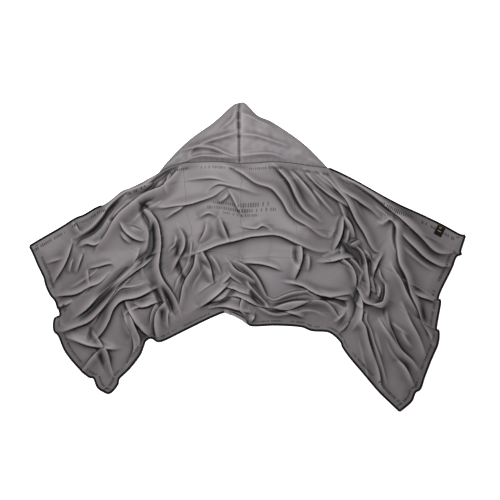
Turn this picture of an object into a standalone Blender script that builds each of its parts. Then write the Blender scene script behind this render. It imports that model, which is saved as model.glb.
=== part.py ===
"""A hooded sheet of light knitted cloth, laid out on a flat surface with its hood away from you.

The body cloth is a rectangle whose two ends have been pulled down, so that it lies as a wide arch with loose
folds. Two panels make the hood: each is folded over along its outer edge, so the hood lies as a flat envelope
with its mouth at the neckline. Overlock thread runs along every cut edge, and sewn seams join the panels.
The hood folds over onto the body cloth along the neckline. Metres, +Z up, X along the neckline, the origin
under the middle of the laid-out sheet.
"""

import math

import bmesh
import bpy
from mathutils import Matrix, Vector

# Driving dimensions, in metres.
LAID_WIDTH = 1.308
LAID_DEPTH = 0.927
SLAB = 0.005  # height of the loosely lying body cloth between its folds
FOLD_HEIGHT = 0.022  # the tallest fold, above the loosely lying cloth
CLOTH = 0.002  # thickness of one layer of the hood, with the air held in the knit
HOOD_HEIGHT = 0.012  # top of the folded hood above the surface it lies on
EDGE_THREAD = 0.004  # diameter of the overlocked edge
SEAM_THREAD = 0.003  # diameter of a sewn seam
CORNER_ROOM = 1.6  # from a corner of the sheet to the end of a run of edge thread, in thread diameters
CLEARANCE = 0.0003  # between pieces that are sewn to each other
NECK_RAMP = 0.060  # distance over which the body cloth rises to the hood's upper layer
LABEL_WIDTH = 0.021
LABEL_LENGTH = 0.033
LABEL_THICKNESS = 0.0008
TACK_DIAMETER = 0.0012  # the rows of stitches that hold the label
TACK_INSET = 0.003  # from the label's end to its row of stitches

# How finely the shapes are divided: the columns of the body cloth left of, along and right of the neckline,
# its rows, and the columns and rows of each hood panel.
TOP_LEFT_COLUMNS = 22
NECK_HALF_COLUMNS = 13
TOP_RIGHT_COLUMNS = 22
BODY_COLUMNS = TOP_LEFT_COLUMNS + 2 * NECK_HALF_COLUMNS + TOP_RIGHT_COLUMNS
BODY_ROWS = 28
BACK_COLUMNS = 8
FIRST_HOOD_COLUMN = 1  # the hood panels start short of the points where their edges run together
HOOD_LAYER_ROWS = 6
HOOD_BEND_ROWS = 4
CURVE_STEPS = 12  # between two points of an outline

# The outline. Each point is (share of the laid width, share of the laid depth), from the middle of the sheet.
TOP_LEFT = [
    (-0.499, 0.034), (-0.472, 0.057), (-0.429, 0.092), (-0.394, 0.123), (-0.349, 0.155),
    (-0.307, 0.189), (-0.268, 0.222), (-0.222, 0.256), (-0.204, 0.270),
]
NECK_LEFT = [(-0.204, 0.270), (-0.177, 0.287), (-0.149, 0.297), (-0.100, 0.304), (-0.018, 0.303)]
NECK_RIGHT = [(-0.018, 0.303), (0.057, 0.305), (0.099, 0.303), (0.144, 0.296), (0.186, 0.286)]
TOP_RIGHT = [
    (0.186, 0.286), (0.213, 0.270), (0.259, 0.236), (0.305, 0.199), (0.351, 0.165),
    (0.397, 0.136), (0.443, 0.105), (0.470, 0.084), (0.500, 0.064),
]
RIGHT = [
    (0.500, 0.064), (0.479, 0.000), (0.466, -0.045), (0.445, -0.104), (0.439, -0.160),
    (0.434, -0.230), (0.437, -0.280), (0.420, -0.338), (0.400, -0.420), (0.376, -0.468), (0.350, -0.498),
]
BOTTOM = [
    (-0.320, -0.443), (-0.298, -0.413), (-0.273, -0.364), (-0.248, -0.319), (-0.234, -0.277),
    (-0.190, -0.266), (-0.154, -0.244), (-0.108, -0.212), (-0.060, -0.190), (-0.016, -0.202),
    (0.020, -0.219), (0.064, -0.221), (0.122, -0.226), (0.188, -0.246), (0.218, -0.288),
    (0.236, -0.325), (0.271, -0.383), (0.305, -0.439), (0.350, -0.498),
]
LEFT = [
    (-0.320, -0.443), (-0.352, -0.400), (-0.390, -0.354), (-0.417, -0.306), (-0.440, -0.240),
    (-0.440, -0.200), (-0.436, -0.147), (-0.452, -0.121), (-0.466, -0.066), (-0.486, -0.005), (-0.499, 0.034),
]
HOOD_LEFT = [
    (-0.204, 0.270), (-0.186, 0.303), (-0.158, 0.345), (-0.131, 0.380), (-0.108, 0.409),
    (-0.085, 0.432), (-0.062, 0.450), (-0.044, 0.477), (-0.018, 0.500),
]
HOOD_RIGHT = [
    (0.186, 0.286), (0.149, 0.340), (0.122, 0.374), (0.085, 0.411), (0.053, 0.439),
    (0.025, 0.456), (0.005, 0.484), (-0.018, 0.500),
]
BACK_SEAM = [(-0.018, 0.303), (-0.019, 0.400), (-0.018, 0.500)]

# The larger folds of the body cloth: the line of the crest in the same shares, its height
# as a share of the tallest fold, and its half width in metres.
FOLDS = [
    ([(-0.214, 0.190), (-0.300, 0.110), (-0.340, 0.080)], 0.80, 0.018),
    ([(-0.226, 0.160), (-0.190, 0.020), (-0.170, -0.090)], 0.95, 0.020),
    ([(-0.230, 0.020), (-0.330, -0.110), (-0.410, -0.210)], 1.00, 0.020),
    ([(-0.200, -0.090), (-0.320, -0.160), (-0.385, -0.215)], 0.90, 0.020),
    ([(-0.140, -0.010), (-0.010, 0.070), (0.110, 0.050)], 0.80, 0.022),
    ([(-0.060, -0.040), (0.040, -0.140), (0.190, -0.130)], 0.80, 0.018),
    ([(0.070, 0.240), (0.130, 0.170), (0.150, 0.120)], 0.75, 0.018),
    ([(0.150, 0.240), (0.230, 0.160), (0.290, 0.070), (0.310, 0.010)], 0.95, 0.020),
    ([(0.320, 0.110), (0.345, 0.000), (0.385, -0.150), (0.420, -0.260)], 1.00, 0.020),
    ([(0.235, 0.000), (0.250, -0.100), (0.235, -0.190)], 0.90, 0.018),
    ([(0.110, 0.050), (0.115, -0.060)], 0.70, 0.018),
    ([(0.250, -0.130), (0.300, -0.260), (0.350, -0.370)], 0.90, 0.020),
    ([(0.300, 0.150), (0.380, 0.050), (0.440, 0.010)], 0.70, 0.018),
    ([(-0.070, 0.180), (0.020, 0.225), (0.110, 0.190)], 0.60, 0.020),
]

LABEL_PLACE = (0.4345, 0.083)  # the label's middle
LABEL_TURN = math.radians(-27.7)  # the slope of the edge it is sewn to

# Colour, roughness and metallic value of each finish.
KNIT = ("grey_knit", (0.17, 0.155, 0.16), 0.75, 0.0)
BLACK_THREAD = ("black_overlock_thread", (0.012, 0.012, 0.013), 0.8, 0.0)
GREY_THREAD = ("grey_sewing_thread", (0.09, 0.08, 0.085), 0.8, 0.0)
WOVEN_LABEL = ("black_woven_label", (0.015, 0.014, 0.014), 0.7, 0.0)
GOLD_THREAD = ("gold_label_thread", (0.35, 0.25, 0.12), 0.6, 0.0)


def clear_scene():
    for old in list(bpy.data.objects):
        bpy.data.objects.remove(old)


def material(finish):
    """The Principled material of a finish, made once."""
    name, colour, roughness, metallic = finish
    found = bpy.data.materials.get(name)
    if found:
        return found
    made = bpy.data.materials.new(name)
    made.use_nodes = True
    shader = made.node_tree.nodes["Principled BSDF"]
    shader.inputs["Base Color"].default_value = (*colour, 1.0)
    shader.inputs["Roughness"].default_value = roughness
    shader.inputs["Metallic"].default_value = metallic
    return made


def add_object(name, data, finish):
    data.materials.append(material(finish))
    made = bpy.data.objects.new(name, data)
    bpy.context.scene.collection.objects.link(made)
    return made


def place(share):
    """A point of the outline in metres, from its shares of the laid width and depth."""
    return Vector((share[0] * LAID_WIDTH, share[1] * LAID_DEPTH, 0.0))


def smooth(shares):
    """A Catmull-Rom curve through the points, as closely spaced points in metres."""
    knots = [place(share) for share in shares]
    ends = [2 * knots[0] - knots[1], *knots, 2 * knots[-1] - knots[-2]]
    line = []
    for before, start, end, after in zip(ends, ends[1:], ends[2:], ends[3:]):
        for step in range(CURVE_STEPS):
            t = step / CURVE_STEPS
            line.append(
                0.5 * (2 * start + (end - before) * t
                       + (2 * before - 5 * start + 4 * end - after) * t ** 2
                       + (3 * (start - end) + after - before) * t ** 3)
            )
    return [*line, knots[-1]]


def lengths(line):
    """The distance along a line to each of its points."""
    found = [0.0]
    for start, end in zip(line, line[1:]):
        found.append(found[-1] + (end - start).length)
    return found


def along(line, share):
    """The point at a share of a line's length."""
    run = lengths(line)
    target = max(0.0, min(1.0, share)) * run[-1]
    for index in range(1, len(line)):
        if run[index] >= target:
            span = max(run[index] - run[index - 1], 1e-9)
            return line[index - 1].lerp(line[index], (target - run[index - 1]) / span)
    return line[-1].copy()


def spaced(shares, count):
    """The smooth curve through the points, as a line of that many equal steps."""
    line = smooth(shares)
    return [along(line, index / count) for index in range(count + 1)]


def beside(line, distance):
    """The line beside this one, each step parallel to its own, on its left if distance is positive."""
    sides = []
    for start, end in zip(line, line[1:]):
        step = (end - start).normalized()
        sides.append(Vector((-step.y, step.x, 0.0)))
    moved = []
    for index, point in enumerate(line):
        first = sides[max(index - 1, 0)]
        second = sides[min(index, len(sides) - 1)]
        moved.append(point + (first + second) * (distance / (1 + first.dot(second))))
    return moved


def trimmed(line, start, end):
    """The line without that much of its length at each end, with its other points kept."""
    run = lengths(line)
    kept = [point for point, there in zip(line, run) if start + 0.002 < there < run[-1] - end - 0.002]
    return [along(line, start / run[-1]), *kept, along(line, 1 - end / run[-1])]


def distance_to(point, line):
    """(distance from a point to a line in plan, share of the line's length at the nearest place)."""
    run = lengths(line)
    best, where = math.inf, 0.0
    for index, (start, end) in enumerate(zip(line, line[1:])):
        step = end - start
        t = max(0.0, min(1.0, (point - start).dot(step) / max(step.length_squared, 1e-12)))
        away = (point - start - step * t).length
        if away < best:
            best, where = away, (run[index] + step.length * t) / run[-1]
    return best, where


def fold_height(point, folds):
    """The height that the folds add at a point, each one highest at the middle of its crest."""
    added = 0.0
    for line, height, half_width in folds:
        away, where = distance_to(point, line)
        crest = height * FOLD_HEIGHT * math.sin(math.pi * (0.08 + 0.84 * where)) ** 0.6
        added = max(added, crest * math.exp(-((away / half_width) ** 2)))
    return added


def clear_of_label(point):
    """0 under the label, where the cloth lies flat, rising to 1 a label's length away from it."""
    label = label_point(0.0, 0.0)
    away = math.hypot(point.x - label.x, point.y - label.y) - LABEL_LENGTH
    return max(0.0, min(1.0, away / LABEL_LENGTH))


def neckline_line():
    """The neckline from left to right; the middle of the hood is one of its points."""
    left = spaced(NECK_LEFT, NECK_HALF_COLUMNS)
    right = spaced(NECK_RIGHT, NECK_HALF_COLUMNS)
    return [*left[:-1], *right]


def outline():
    """The four sides of the sheet before anything is set in: bottom, top, left and right."""
    top = spaced(TOP_LEFT, TOP_LEFT_COLUMNS)[:-1] + neckline_line() + spaced(TOP_RIGHT, TOP_RIGHT_COLUMNS)[1:]
    left = spaced(LEFT, BODY_ROWS)
    right = spaced(RIGHT, BODY_ROWS)[::-1]
    return spaced(BOTTOM, BODY_COLUMNS), top, left, right


def corner_of(first, second):
    """Where the first steps of two lines cross."""
    a, b = first[0], first[1] - first[0]
    c, d = second[0], second[1] - second[0]
    share = ((c - a).x * d.y - (c - a).y * d.x) / (b.x * d.y - b.y * d.x)
    return a + b * share


def body_edges():
    """The body cloth's own sides, set in by the room that its edge thread and the neck seam take."""
    inset = EDGE_THREAD + CLEARANCE
    bottom, top, left, right = outline()
    seam = beside(top, -(SEAM_THREAD / 2 + CLEARANCE))
    set_in = beside(top, -inset)
    first, last = TOP_LEFT_COLUMNS, TOP_LEFT_COLUMNS + 2 * NECK_HALF_COLUMNS
    top = [*set_in[:first + 1], *seam[first + 1:last], *set_in[last:]]
    bottom = beside(bottom, inset)
    left = beside(left, -inset)
    right = beside(right, inset)
    corners = ((bottom, left, 0, 0), (top, left, 0, -1), (bottom, right, -1, 0), (top, right, -1, -1))
    for start, other, end, far in corners:
        forward = start if end == 0 else start[::-1]
        upward = other if far == 0 else other[::-1]
        corner = corner_of(forward, upward)
        start[end] = corner
        other[far] = corner
    return bottom, top, left, right


def finish_mesh(mesh, name, finish):
    bmesh.ops.recalc_face_normals(mesh, faces=mesh.faces)
    data = bpy.data.meshes.new(name)
    mesh.to_mesh(data)
    mesh.free()
    return add_object(name, data, finish)


def build_body_panel():
    """The body cloth: flat underneath, with its folds as rounded crests on top."""
    bottom, top, left, right = body_edges()
    neckline = smooth([*NECK_LEFT, *NECK_RIGHT[1:]])
    folds = [(smooth(line), height, half_width) for line, height, half_width in FOLDS]
    rise = HOOD_HEIGHT - CLOTH / 2 - SLAB
    mesh = bmesh.new()
    bmesh.ops.create_grid(mesh, x_segments=BODY_COLUMNS, y_segments=BODY_ROWS, size=0.5)
    for vertex in mesh.verts:
        u, v = vertex.co.x + 0.5, vertex.co.y + 0.5
        column, row = round(u * BODY_COLUMNS), round(v * BODY_ROWS)
        across = bottom[column].lerp(top[column], v)
        upward = left[row].lerp(right[row], u)
        corners = bottom[0].lerp(bottom[-1], u).lerp(top[0].lerp(top[-1], u), v)
        vertex.co = across + upward - corners
        near = max(0.0, 1 - distance_to(vertex.co, neckline)[0] / NECK_RAMP)
        ramp = rise * near * near * (3 - 2 * near)
        open_cloth = (1 - near) * clear_of_label(vertex.co)
        vertex.co.z = SLAB + max(ramp, open_cloth * fold_height(vertex.co, folds))
    rim = [edge for edge in mesh.edges if edge.is_boundary]
    lowered = bmesh.ops.extrude_edge_only(mesh, edges=rim)["geom"]
    for item in lowered:
        if isinstance(item, bmesh.types.BMVert):
            item.co.z = 0.0
    bmesh.ops.contextual_create(mesh, geom=[item for item in lowered if isinstance(item, bmesh.types.BMEdge)])
    return finish_mesh(mesh, "body_panel", KNIT)


def hood_edges(side):
    """The open edges of a hood panel's two layers, from the neckline to near the peak, and its fold line.

    side is -1 for the left panel and 1 for the right one.
    """
    neck = neckline_line()
    half = neck[:NECK_HALF_COLUMNS + 1] if side < 0 else neck[:NECK_HALF_COLUMNS - 1:-1]
    back = spaced(BACK_SEAM, BACK_COLUMNS + 1)[1:-1]
    middle_edge = beside([*half, *back], -side * (SEAM_THREAD / 2 + CLEARANCE))
    upper = middle_edge[FIRST_HOOD_COLUMN:]
    lower = [point.copy() for point in upper]
    for point in lower[:NECK_HALF_COLUMNS + 1 - FIRST_HOOD_COLUMN]:
        point.y += EDGE_THREAD + 2 * CLEARANCE
    outer = smooth(HOOD_LEFT if side < 0 else HOOD_RIGHT)
    outer = beside(outer, side * (HOOD_HEIGHT / 2))
    columns = len(upper) - 1
    fold = [along(outer, 0.09 + 0.84 * column / columns) for column in range(columns + 1)]
    return lower, upper, fold


def build_hood_panel(name, side):
    """One hood panel, folded along its outer edge: a lower layer, a round bend and an upper layer."""
    lower, upper, fold = hood_edges(side)
    columns = len(upper) - 1
    rows = 2 * HOOD_LAYER_ROWS + HOOD_BEND_ROWS
    radius = (HOOD_HEIGHT - CLOTH) / 2
    mesh = bmesh.new()
    bmesh.ops.create_grid(mesh, x_segments=columns, y_segments=rows, size=0.5)
    for vertex in mesh.verts:
        column = round((vertex.co.x + 0.5) * columns)
        row = round((vertex.co.y + 0.5) * rows)
        behind, ahead = fold[max(column - 1, 0)], fold[min(column + 1, columns)]
        step = (ahead - behind).normalized()
        outward = Vector((-step.y, step.x, 0.0)) * -side
        if row < HOOD_LAYER_ROWS:
            point = lower[column].lerp(fold[column], row / HOOD_LAYER_ROWS)
            height = CLOTH / 2
        elif row > HOOD_LAYER_ROWS + HOOD_BEND_ROWS:
            point = upper[column].lerp(fold[column], (rows - row) / HOOD_LAYER_ROWS)
            height = HOOD_HEIGHT - CLOTH / 2
        else:
            turn = math.pi * (row - HOOD_LAYER_ROWS) / HOOD_BEND_ROWS
            point = fold[column] + outward * (radius * math.sin(turn))
            height = CLOTH / 2 + radius * (1 - math.cos(turn))
        vertex.co = (point.x, point.y, height)
    made = finish_mesh(mesh, name, KNIT)
    thickness = made.modifiers.new("cloth_thickness", "SOLIDIFY")
    thickness.thickness = CLOTH
    thickness.offset = 0.0


def build_thread(name, line, diameter, finish):
    """A round run of thread along a line."""
    data = bpy.data.curves.new(name, "CURVE")
    data.dimensions = "3D"
    data.bevel_depth = diameter / 2
    data.bevel_resolution = 1
    data.use_fill_caps = True
    spline = data.splines.new("POLY")
    spline.points.add(len(line) - 1)
    for point, spot in zip(spline.points, line):
        point.co = (*spot, 1.0)
    return add_object(name, data, finish)


def at_height(line, height):
    return [Vector((point.x, point.y, height)) for point in line]


def build_edge_threads():
    """The overlocked edges of the body cloth, one run for each side between two corners."""
    radius = EDGE_THREAD / 2
    end = CORNER_ROOM * EDGE_THREAD + CLEARANCE
    bottom, top, left, right = outline()
    last = TOP_LEFT_COLUMNS + 2 * NECK_HALF_COLUMNS
    runs = {
        "top_left_edge_overlock": beside(top[:TOP_LEFT_COLUMNS + 1], -radius),
        "top_right_edge_overlock": beside(top[last:], -radius),
        "right_edge_overlock": beside(right, radius),
        "bottom_edge_overlock": beside(bottom, radius),
        "left_edge_overlock": beside(left, -radius),
    }
    for name, line in runs.items():
        build_thread(name, at_height(trimmed(line, end, end), radius), EDGE_THREAD, BLACK_THREAD)


def build_seams():
    """The neck seam, and the hood's centre seam: up its back, over the peak and under its crown."""
    radius = SEAM_THREAD / 2
    high = HOOD_HEIGHT - radius
    neck = trimmed(neckline_line(), EDGE_THREAD, EDGE_THREAD)
    build_thread("neck_seam", at_height(neck, high), SEAM_THREAD, GREY_THREAD)
    back = smooth(BACK_SEAM)
    bend = (high - radius) / 2
    back = trimmed(back, SEAM_THREAD + CLEARANCE, bend + radius)
    peak = back[-1]
    rounded = []
    for step in range(1, 8):
        turn = math.pi * step / 8
        rounded.append(Vector((peak.x, peak.y + bend * math.sin(turn), radius + bend * (1 + math.cos(turn)))))
    under = [point for point in back if point.y > back[0].y + EDGE_THREAD][::-1]
    line = [*at_height(back, high), *rounded, *at_height(under, radius)]
    build_thread("hood_centre_seam", line, SEAM_THREAD, GREY_THREAD)


def build_mouth_edges():
    """The overlocked edges of the hood's mouth, along the ends of its lower layer."""
    radius = EDGE_THREAD / 2
    neck = neckline_line()
    line = beside(neck, SEAM_THREAD / 2 + CLEARANCE + radius)
    left = trimmed(line[FIRST_HOOD_COLUMN:NECK_HALF_COLUMNS + 1], EDGE_THREAD, SEAM_THREAD)
    right = trimmed(line[NECK_HALF_COLUMNS:len(line) - FIRST_HOOD_COLUMN], SEAM_THREAD, EDGE_THREAD)
    build_thread("hood_left_mouth_overlock", at_height(left, radius), EDGE_THREAD, BLACK_THREAD)
    build_thread("hood_right_mouth_overlock", at_height(right, radius), EDGE_THREAD, BLACK_THREAD)


def label_point(across, down):
    """A place on the label, from its middle: across its width, and down its length away from the edge."""
    middle = place(LABEL_PLACE)
    c, s = math.cos(LABEL_TURN), math.sin(LABEL_TURN)
    return Vector((middle.x + c * across + s * down, middle.y + s * across - c * down, 0.0))


def build_label():
    """The woven label, lying on the body cloth, and the two rows of stitches that hold it."""
    mesh = bmesh.new()
    bmesh.ops.create_cube(mesh, size=1.0)
    low = SLAB + CLEARANCE
    for vertex in mesh.verts:
        plan = label_point(vertex.co.x * LABEL_WIDTH, -vertex.co.y * LABEL_LENGTH)
        height = low + (vertex.co.z + 0.5) * LABEL_THICKNESS
        vertex.co = (plan.x, plan.y, height)
    finish_mesh(mesh, "woven_label", WOVEN_LABEL)
    half = LABEL_WIDTH / 2 - TACK_DIAMETER
    reach = LABEL_LENGTH / 2 - TACK_INSET
    height = low + LABEL_THICKNESS + CLEARANCE + TACK_DIAMETER / 2
    for name, down in (("label_upper_stitches", -reach), ("label_lower_stitches", reach)):
        row = [label_point(half * (2 * step / 4 - 1), down) for step in range(5)]
        build_thread(name, at_height(row, height), TACK_DIAMETER, GOLD_THREAD)


def hang_hood():
    """The hood's pieces turn about an empty on the axis of the fold, level with the top of the hood."""
    axis = bpy.data.objects.new("hood_fold_axis", None)
    axis.location = (0.0, place(NECK_LEFT[0]).y, HOOD_HEIGHT)
    bpy.context.scene.collection.objects.link(axis)
    for piece in list(bpy.context.scene.collection.objects):
        if piece.name.startswith("hood_") and piece != axis:
            piece.parent = axis
            piece.matrix_parent_inverse = Matrix.Translation(axis.location).inverted()


def main():
    clear_scene()
    build_body_panel()
    build_hood_panel("hood_left_panel", -1)
    build_hood_panel("hood_right_panel", 1)
    build_edge_threads()
    build_seams()
    build_mouth_edges()
    build_label()
    hang_hood()


main()
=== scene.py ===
"""A hooded towel of thin grey polyester jersey, spread out on white paper and lying in soft folds.

The body cloth is one rectangle, cut wider than it lies, so the spare cloth stands up in folds. The folds are
shaped directly, not simulated. A pointed hood of two panels is sewn to the middle of its upper edge. Black thread
is overlocked along every cut edge, the cloth is printed along its hem and in the middle, and a woven label is
caught in the edge at the right end.
Metres, +Z up, +X across the sheet, +Y towards the hood's peak.
"""

from __future__ import annotations

import logging
import math
from dataclasses import dataclass
from enum import Enum

import bmesh
import bpy
import numpy as np
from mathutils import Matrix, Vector
from mathutils.bvhtree import BVHTree


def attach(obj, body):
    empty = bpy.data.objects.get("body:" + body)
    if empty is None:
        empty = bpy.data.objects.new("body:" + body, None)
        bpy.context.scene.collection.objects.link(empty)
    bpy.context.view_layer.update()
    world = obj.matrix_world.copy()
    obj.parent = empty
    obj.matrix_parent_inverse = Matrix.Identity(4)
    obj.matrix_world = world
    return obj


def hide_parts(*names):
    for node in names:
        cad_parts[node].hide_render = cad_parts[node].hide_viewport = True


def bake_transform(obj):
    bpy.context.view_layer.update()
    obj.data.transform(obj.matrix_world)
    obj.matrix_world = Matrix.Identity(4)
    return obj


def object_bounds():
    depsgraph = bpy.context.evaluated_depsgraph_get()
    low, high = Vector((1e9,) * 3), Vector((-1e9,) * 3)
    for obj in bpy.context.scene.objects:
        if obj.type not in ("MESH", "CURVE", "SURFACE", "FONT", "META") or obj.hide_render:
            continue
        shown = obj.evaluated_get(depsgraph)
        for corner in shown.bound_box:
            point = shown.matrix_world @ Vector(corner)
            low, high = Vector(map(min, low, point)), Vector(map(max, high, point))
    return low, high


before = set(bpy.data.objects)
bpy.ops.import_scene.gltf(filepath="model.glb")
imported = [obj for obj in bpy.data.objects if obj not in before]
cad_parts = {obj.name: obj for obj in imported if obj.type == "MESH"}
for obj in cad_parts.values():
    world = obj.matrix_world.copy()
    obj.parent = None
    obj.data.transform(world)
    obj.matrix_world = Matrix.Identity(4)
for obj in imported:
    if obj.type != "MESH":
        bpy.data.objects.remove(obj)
CAD_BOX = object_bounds()
log = logging.getLogger("hooded_towel")

MM = 0.001
CM = 0.01


class Side(Enum):
    """The two halves of the hood, with the sign of their place along X."""

    LEFT = -1
    RIGHT = 1


class Edge(Enum):
    """The runs of the body cloth's cut edge, with the name of the thread on each."""

    TOP_LEFT = "top_left_edge_overlock"
    TOP_RIGHT = "top_right_edge_overlock"
    RIGHT = "right_edge_overlock"
    BOTTOM = "bottom_edge_overlock"
    LEFT = "left_edge_overlock"
    NECK = "neck_seam"


@dataclass(frozen=True)
class Fold:
    """One fold of the body cloth.

    crest is its line, in centimetres from the middle of the sheet. height and half_width are in millimetres, and
    a negative height is a crease that is pressed in. lean, from -1 to 1, steepens the flank on the line's right.
    """

    crest: tuple[tuple[float, float], ...]
    height: float
    half_width: float
    lean: float


@dataclass(frozen=True)
class Outline:
    """The four sides of the laid-out sheet and the hood's silhouette.

    Each point is (share of the laid width, share of the laid depth), from the middle of the sheet.
    """

    top_left: tuple = (
        (-0.499, 0.034), (-0.472, 0.057), (-0.429, 0.092), (-0.394, 0.123), (-0.374, 0.134), (-0.349, 0.155),
        (-0.326, 0.170), (-0.307, 0.189), (-0.287, 0.212), (-0.268, 0.222), (-0.243, 0.239), (-0.222, 0.256),
        (-0.204, 0.270),
    )
    neck_left: tuple = (
        (-0.204, 0.270), (-0.177, 0.290), (-0.149, 0.301), (-0.108, 0.306), (-0.067, 0.307), (-0.018, 0.301),
    )
    neck_right: tuple = (
        (-0.018, 0.301), (0.021, 0.303), (0.057, 0.307), (0.099, 0.303), (0.144, 0.294), (0.186, 0.286),
    )
    top_right: tuple = (
        (0.186, 0.286), (0.213, 0.270), (0.259, 0.236), (0.305, 0.199), (0.351, 0.165), (0.397, 0.136),
        (0.443, 0.105), (0.470, 0.084), (0.489, 0.070), (0.500, 0.068),
    )
    right: tuple = (
        (0.500, 0.068), (0.489, 0.018), (0.491, 0.008), (0.479, 0.000), (0.466, -0.045), (0.445, -0.104),
        (0.437, -0.138), (0.443, -0.147), (0.433, -0.230), (0.439, -0.241), (0.437, -0.280), (0.420, -0.338),
        (0.406, -0.390), (0.397, -0.427), (0.385, -0.439), (0.376, -0.468), (0.350, -0.500),
    )
    bottom: tuple = (
        (-0.320, -0.443), (-0.310, -0.435), (-0.298, -0.413), (-0.294, -0.393), (-0.273, -0.364),
        (-0.248, -0.319), (-0.239, -0.290), (-0.234, -0.272), (-0.220, -0.262), (-0.206, -0.273),
        (-0.190, -0.269), (-0.154, -0.244), (-0.108, -0.212), (-0.073, -0.189), (-0.050, -0.181),
        (-0.016, -0.202), (0.009, -0.222), (0.064, -0.220), (0.122, -0.225), (0.149, -0.238), (0.188, -0.243),
        (0.214, -0.273), (0.220, -0.293), (0.236, -0.325), (0.271, -0.383), (0.305, -0.439), (0.350, -0.500),
    )
    left: tuple = (
        (-0.320, -0.443), (-0.342, -0.424), (-0.352, -0.393), (-0.365, -0.387), (-0.390, -0.354),
        (-0.417, -0.306), (-0.432, -0.257), (-0.443, -0.238), (-0.442, -0.202), (-0.429, -0.188),
        (-0.438, -0.147), (-0.452, -0.121), (-0.462, -0.089), (-0.466, -0.066), (-0.479, -0.028),
        (-0.489, 0.005), (-0.499, 0.034),
    )
    hood_left: tuple = (
        (-0.204, 0.270), (-0.186, 0.303), (-0.158, 0.345), (-0.131, 0.380), (-0.105, 0.407), (-0.083, 0.428),
        (-0.063, 0.452), (-0.044, 0.477), (-0.030, 0.493), (-0.018, 0.498),
    )
    hood_right: tuple = (
        (0.186, 0.286), (0.149, 0.340), (0.122, 0.374), (0.085, 0.411), (0.053, 0.439), (0.025, 0.456),
        (0.005, 0.484), (-0.007, 0.499), (-0.018, 0.498),
    )
    back_seam: tuple = ((-0.018, 0.301), (-0.019, 0.400), (-0.020, 0.450), (-0.018, 0.498))
    thread_reach: float = 0.0025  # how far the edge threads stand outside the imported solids' box

    def line(self, name: str) -> np.ndarray:
        """A smooth curve through one side's points.

        Args:
            name: the side's field.

        Returns:
            An array of (x, y) in metres.
        """
        low, high = (np.array(corner) for corner in CAD_BOX)
        size = high[:2] - low[:2] + 2 * self.thread_reach
        middle = (high[:2] + low[:2]) / 2
        return smooth(np.array(getattr(self, name)) * size + middle)


def smooth(points: np.ndarray, steps: int = 8) -> np.ndarray:
    """A Catmull-Rom curve through points.

    Args:
        points: an array of points, one in each row.
        steps: how many pieces each span is cut into.

    Returns:
        The curve's points.
    """
    ends = np.vstack([2 * points[0] - points[1], points, 2 * points[-1] - points[-2]])
    before, start, end, after = (ends[first:len(ends) - 3 + first] for first in range(4))
    t = (np.arange(steps) / steps)[None, :, None]
    before, start, end, after = (item[:, None, :] for item in (before, start, end, after))
    curve = 0.5 * (
        2 * start + (end - before) * t
        + (2 * before - 5 * start + 4 * end - after) * t ** 2
        + (3 * (start - end) + after - before) * t ** 3
    )
    return np.vstack([curve.reshape(-1, points.shape[1]), points[-1]])


def run_of(line: np.ndarray) -> np.ndarray:
    """The distance along a line to each of its points."""
    return np.concatenate([[0.0], np.cumsum(np.linalg.norm(np.diff(line, axis=0), axis=1))])


def at_shares(line: np.ndarray, shares: np.ndarray) -> np.ndarray:
    """The points at shares, from 0 to 1, of a line's length."""
    run = run_of(line)
    return np.stack([np.interp(shares * run[-1], run, line[:, axis]) for axis in range(line.shape[1])], axis=1)


def nearest(points: np.ndarray, line: np.ndarray) -> tuple[np.ndarray, np.ndarray]:
    """Where points lie beside a line, in plan.

    Args:
        points: an array of (x, y).
        line: an array of (x, y) along the line.

    Returns:
        The signed distance, positive on the line's left, and the share of its length at the nearest place.
    """
    best = np.full(len(points), np.inf)
    signed = np.zeros(len(points))
    share = np.zeros(len(points))
    run = run_of(line)
    for index, (start, end) in enumerate(zip(line, line[1:])):
        step = end - start
        length = max(float(np.hypot(*step)), 1e-9)
        offset = points - start
        t = np.clip(offset @ step / length ** 2, 0, 1)
        away = np.hypot(*(offset - t[:, None] * step).T)
        closer = away < best
        side = np.sign(step[0] * offset[:, 1] - step[1] * offset[:, 0])
        best = np.where(closer, away, best)
        signed = np.where(closer, away * np.where(side == 0, 1, side), signed)
        share = np.where(closer, (run[index] + t * length) / run[-1], share)
    return signed, share


def ripple(points: np.ndarray, size: float, seed: int, octaves: int = 3) -> np.ndarray:
    """Smooth irregular waves, the same on each run.

    Args:
        points: an array of (x, y) in metres.
        size: the length of the longest waves, in metres.
        seed: picks another pattern.
        octaves: how many finer sets of waves are added.

    Returns:
        A value for each point, mostly between -1 and 1.
    """
    random = np.random.default_rng(seed)
    total = np.zeros(len(points))
    for octave in range(octaves):
        for _ in range(6):
            angle = random.uniform(0, 2 * math.pi)
            wave = 2 * math.pi / size * 1.9 ** octave * random.uniform(0.7, 1.3)
            phase = random.uniform(0, 2 * math.pi)
            across = points[:, 0] * math.cos(angle) + points[:, 1] * math.sin(angle)
            total += np.sin(across * wave + phase) * 0.35 / 1.8 ** octave
    return total


def eased(share: np.ndarray) -> np.ndarray:
    """A smooth step from 0 to 1."""
    held = np.clip(share, 0, 1)
    return held * held * (3 - 2 * held)


def within(places: np.ndarray, low: float, high: float, soft: float) -> np.ndarray:
    """1 between two places and 0 outside them, rising over a soft distance inside each."""
    return eased((places - low) / soft) * eased((high - places) / soft)


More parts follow.
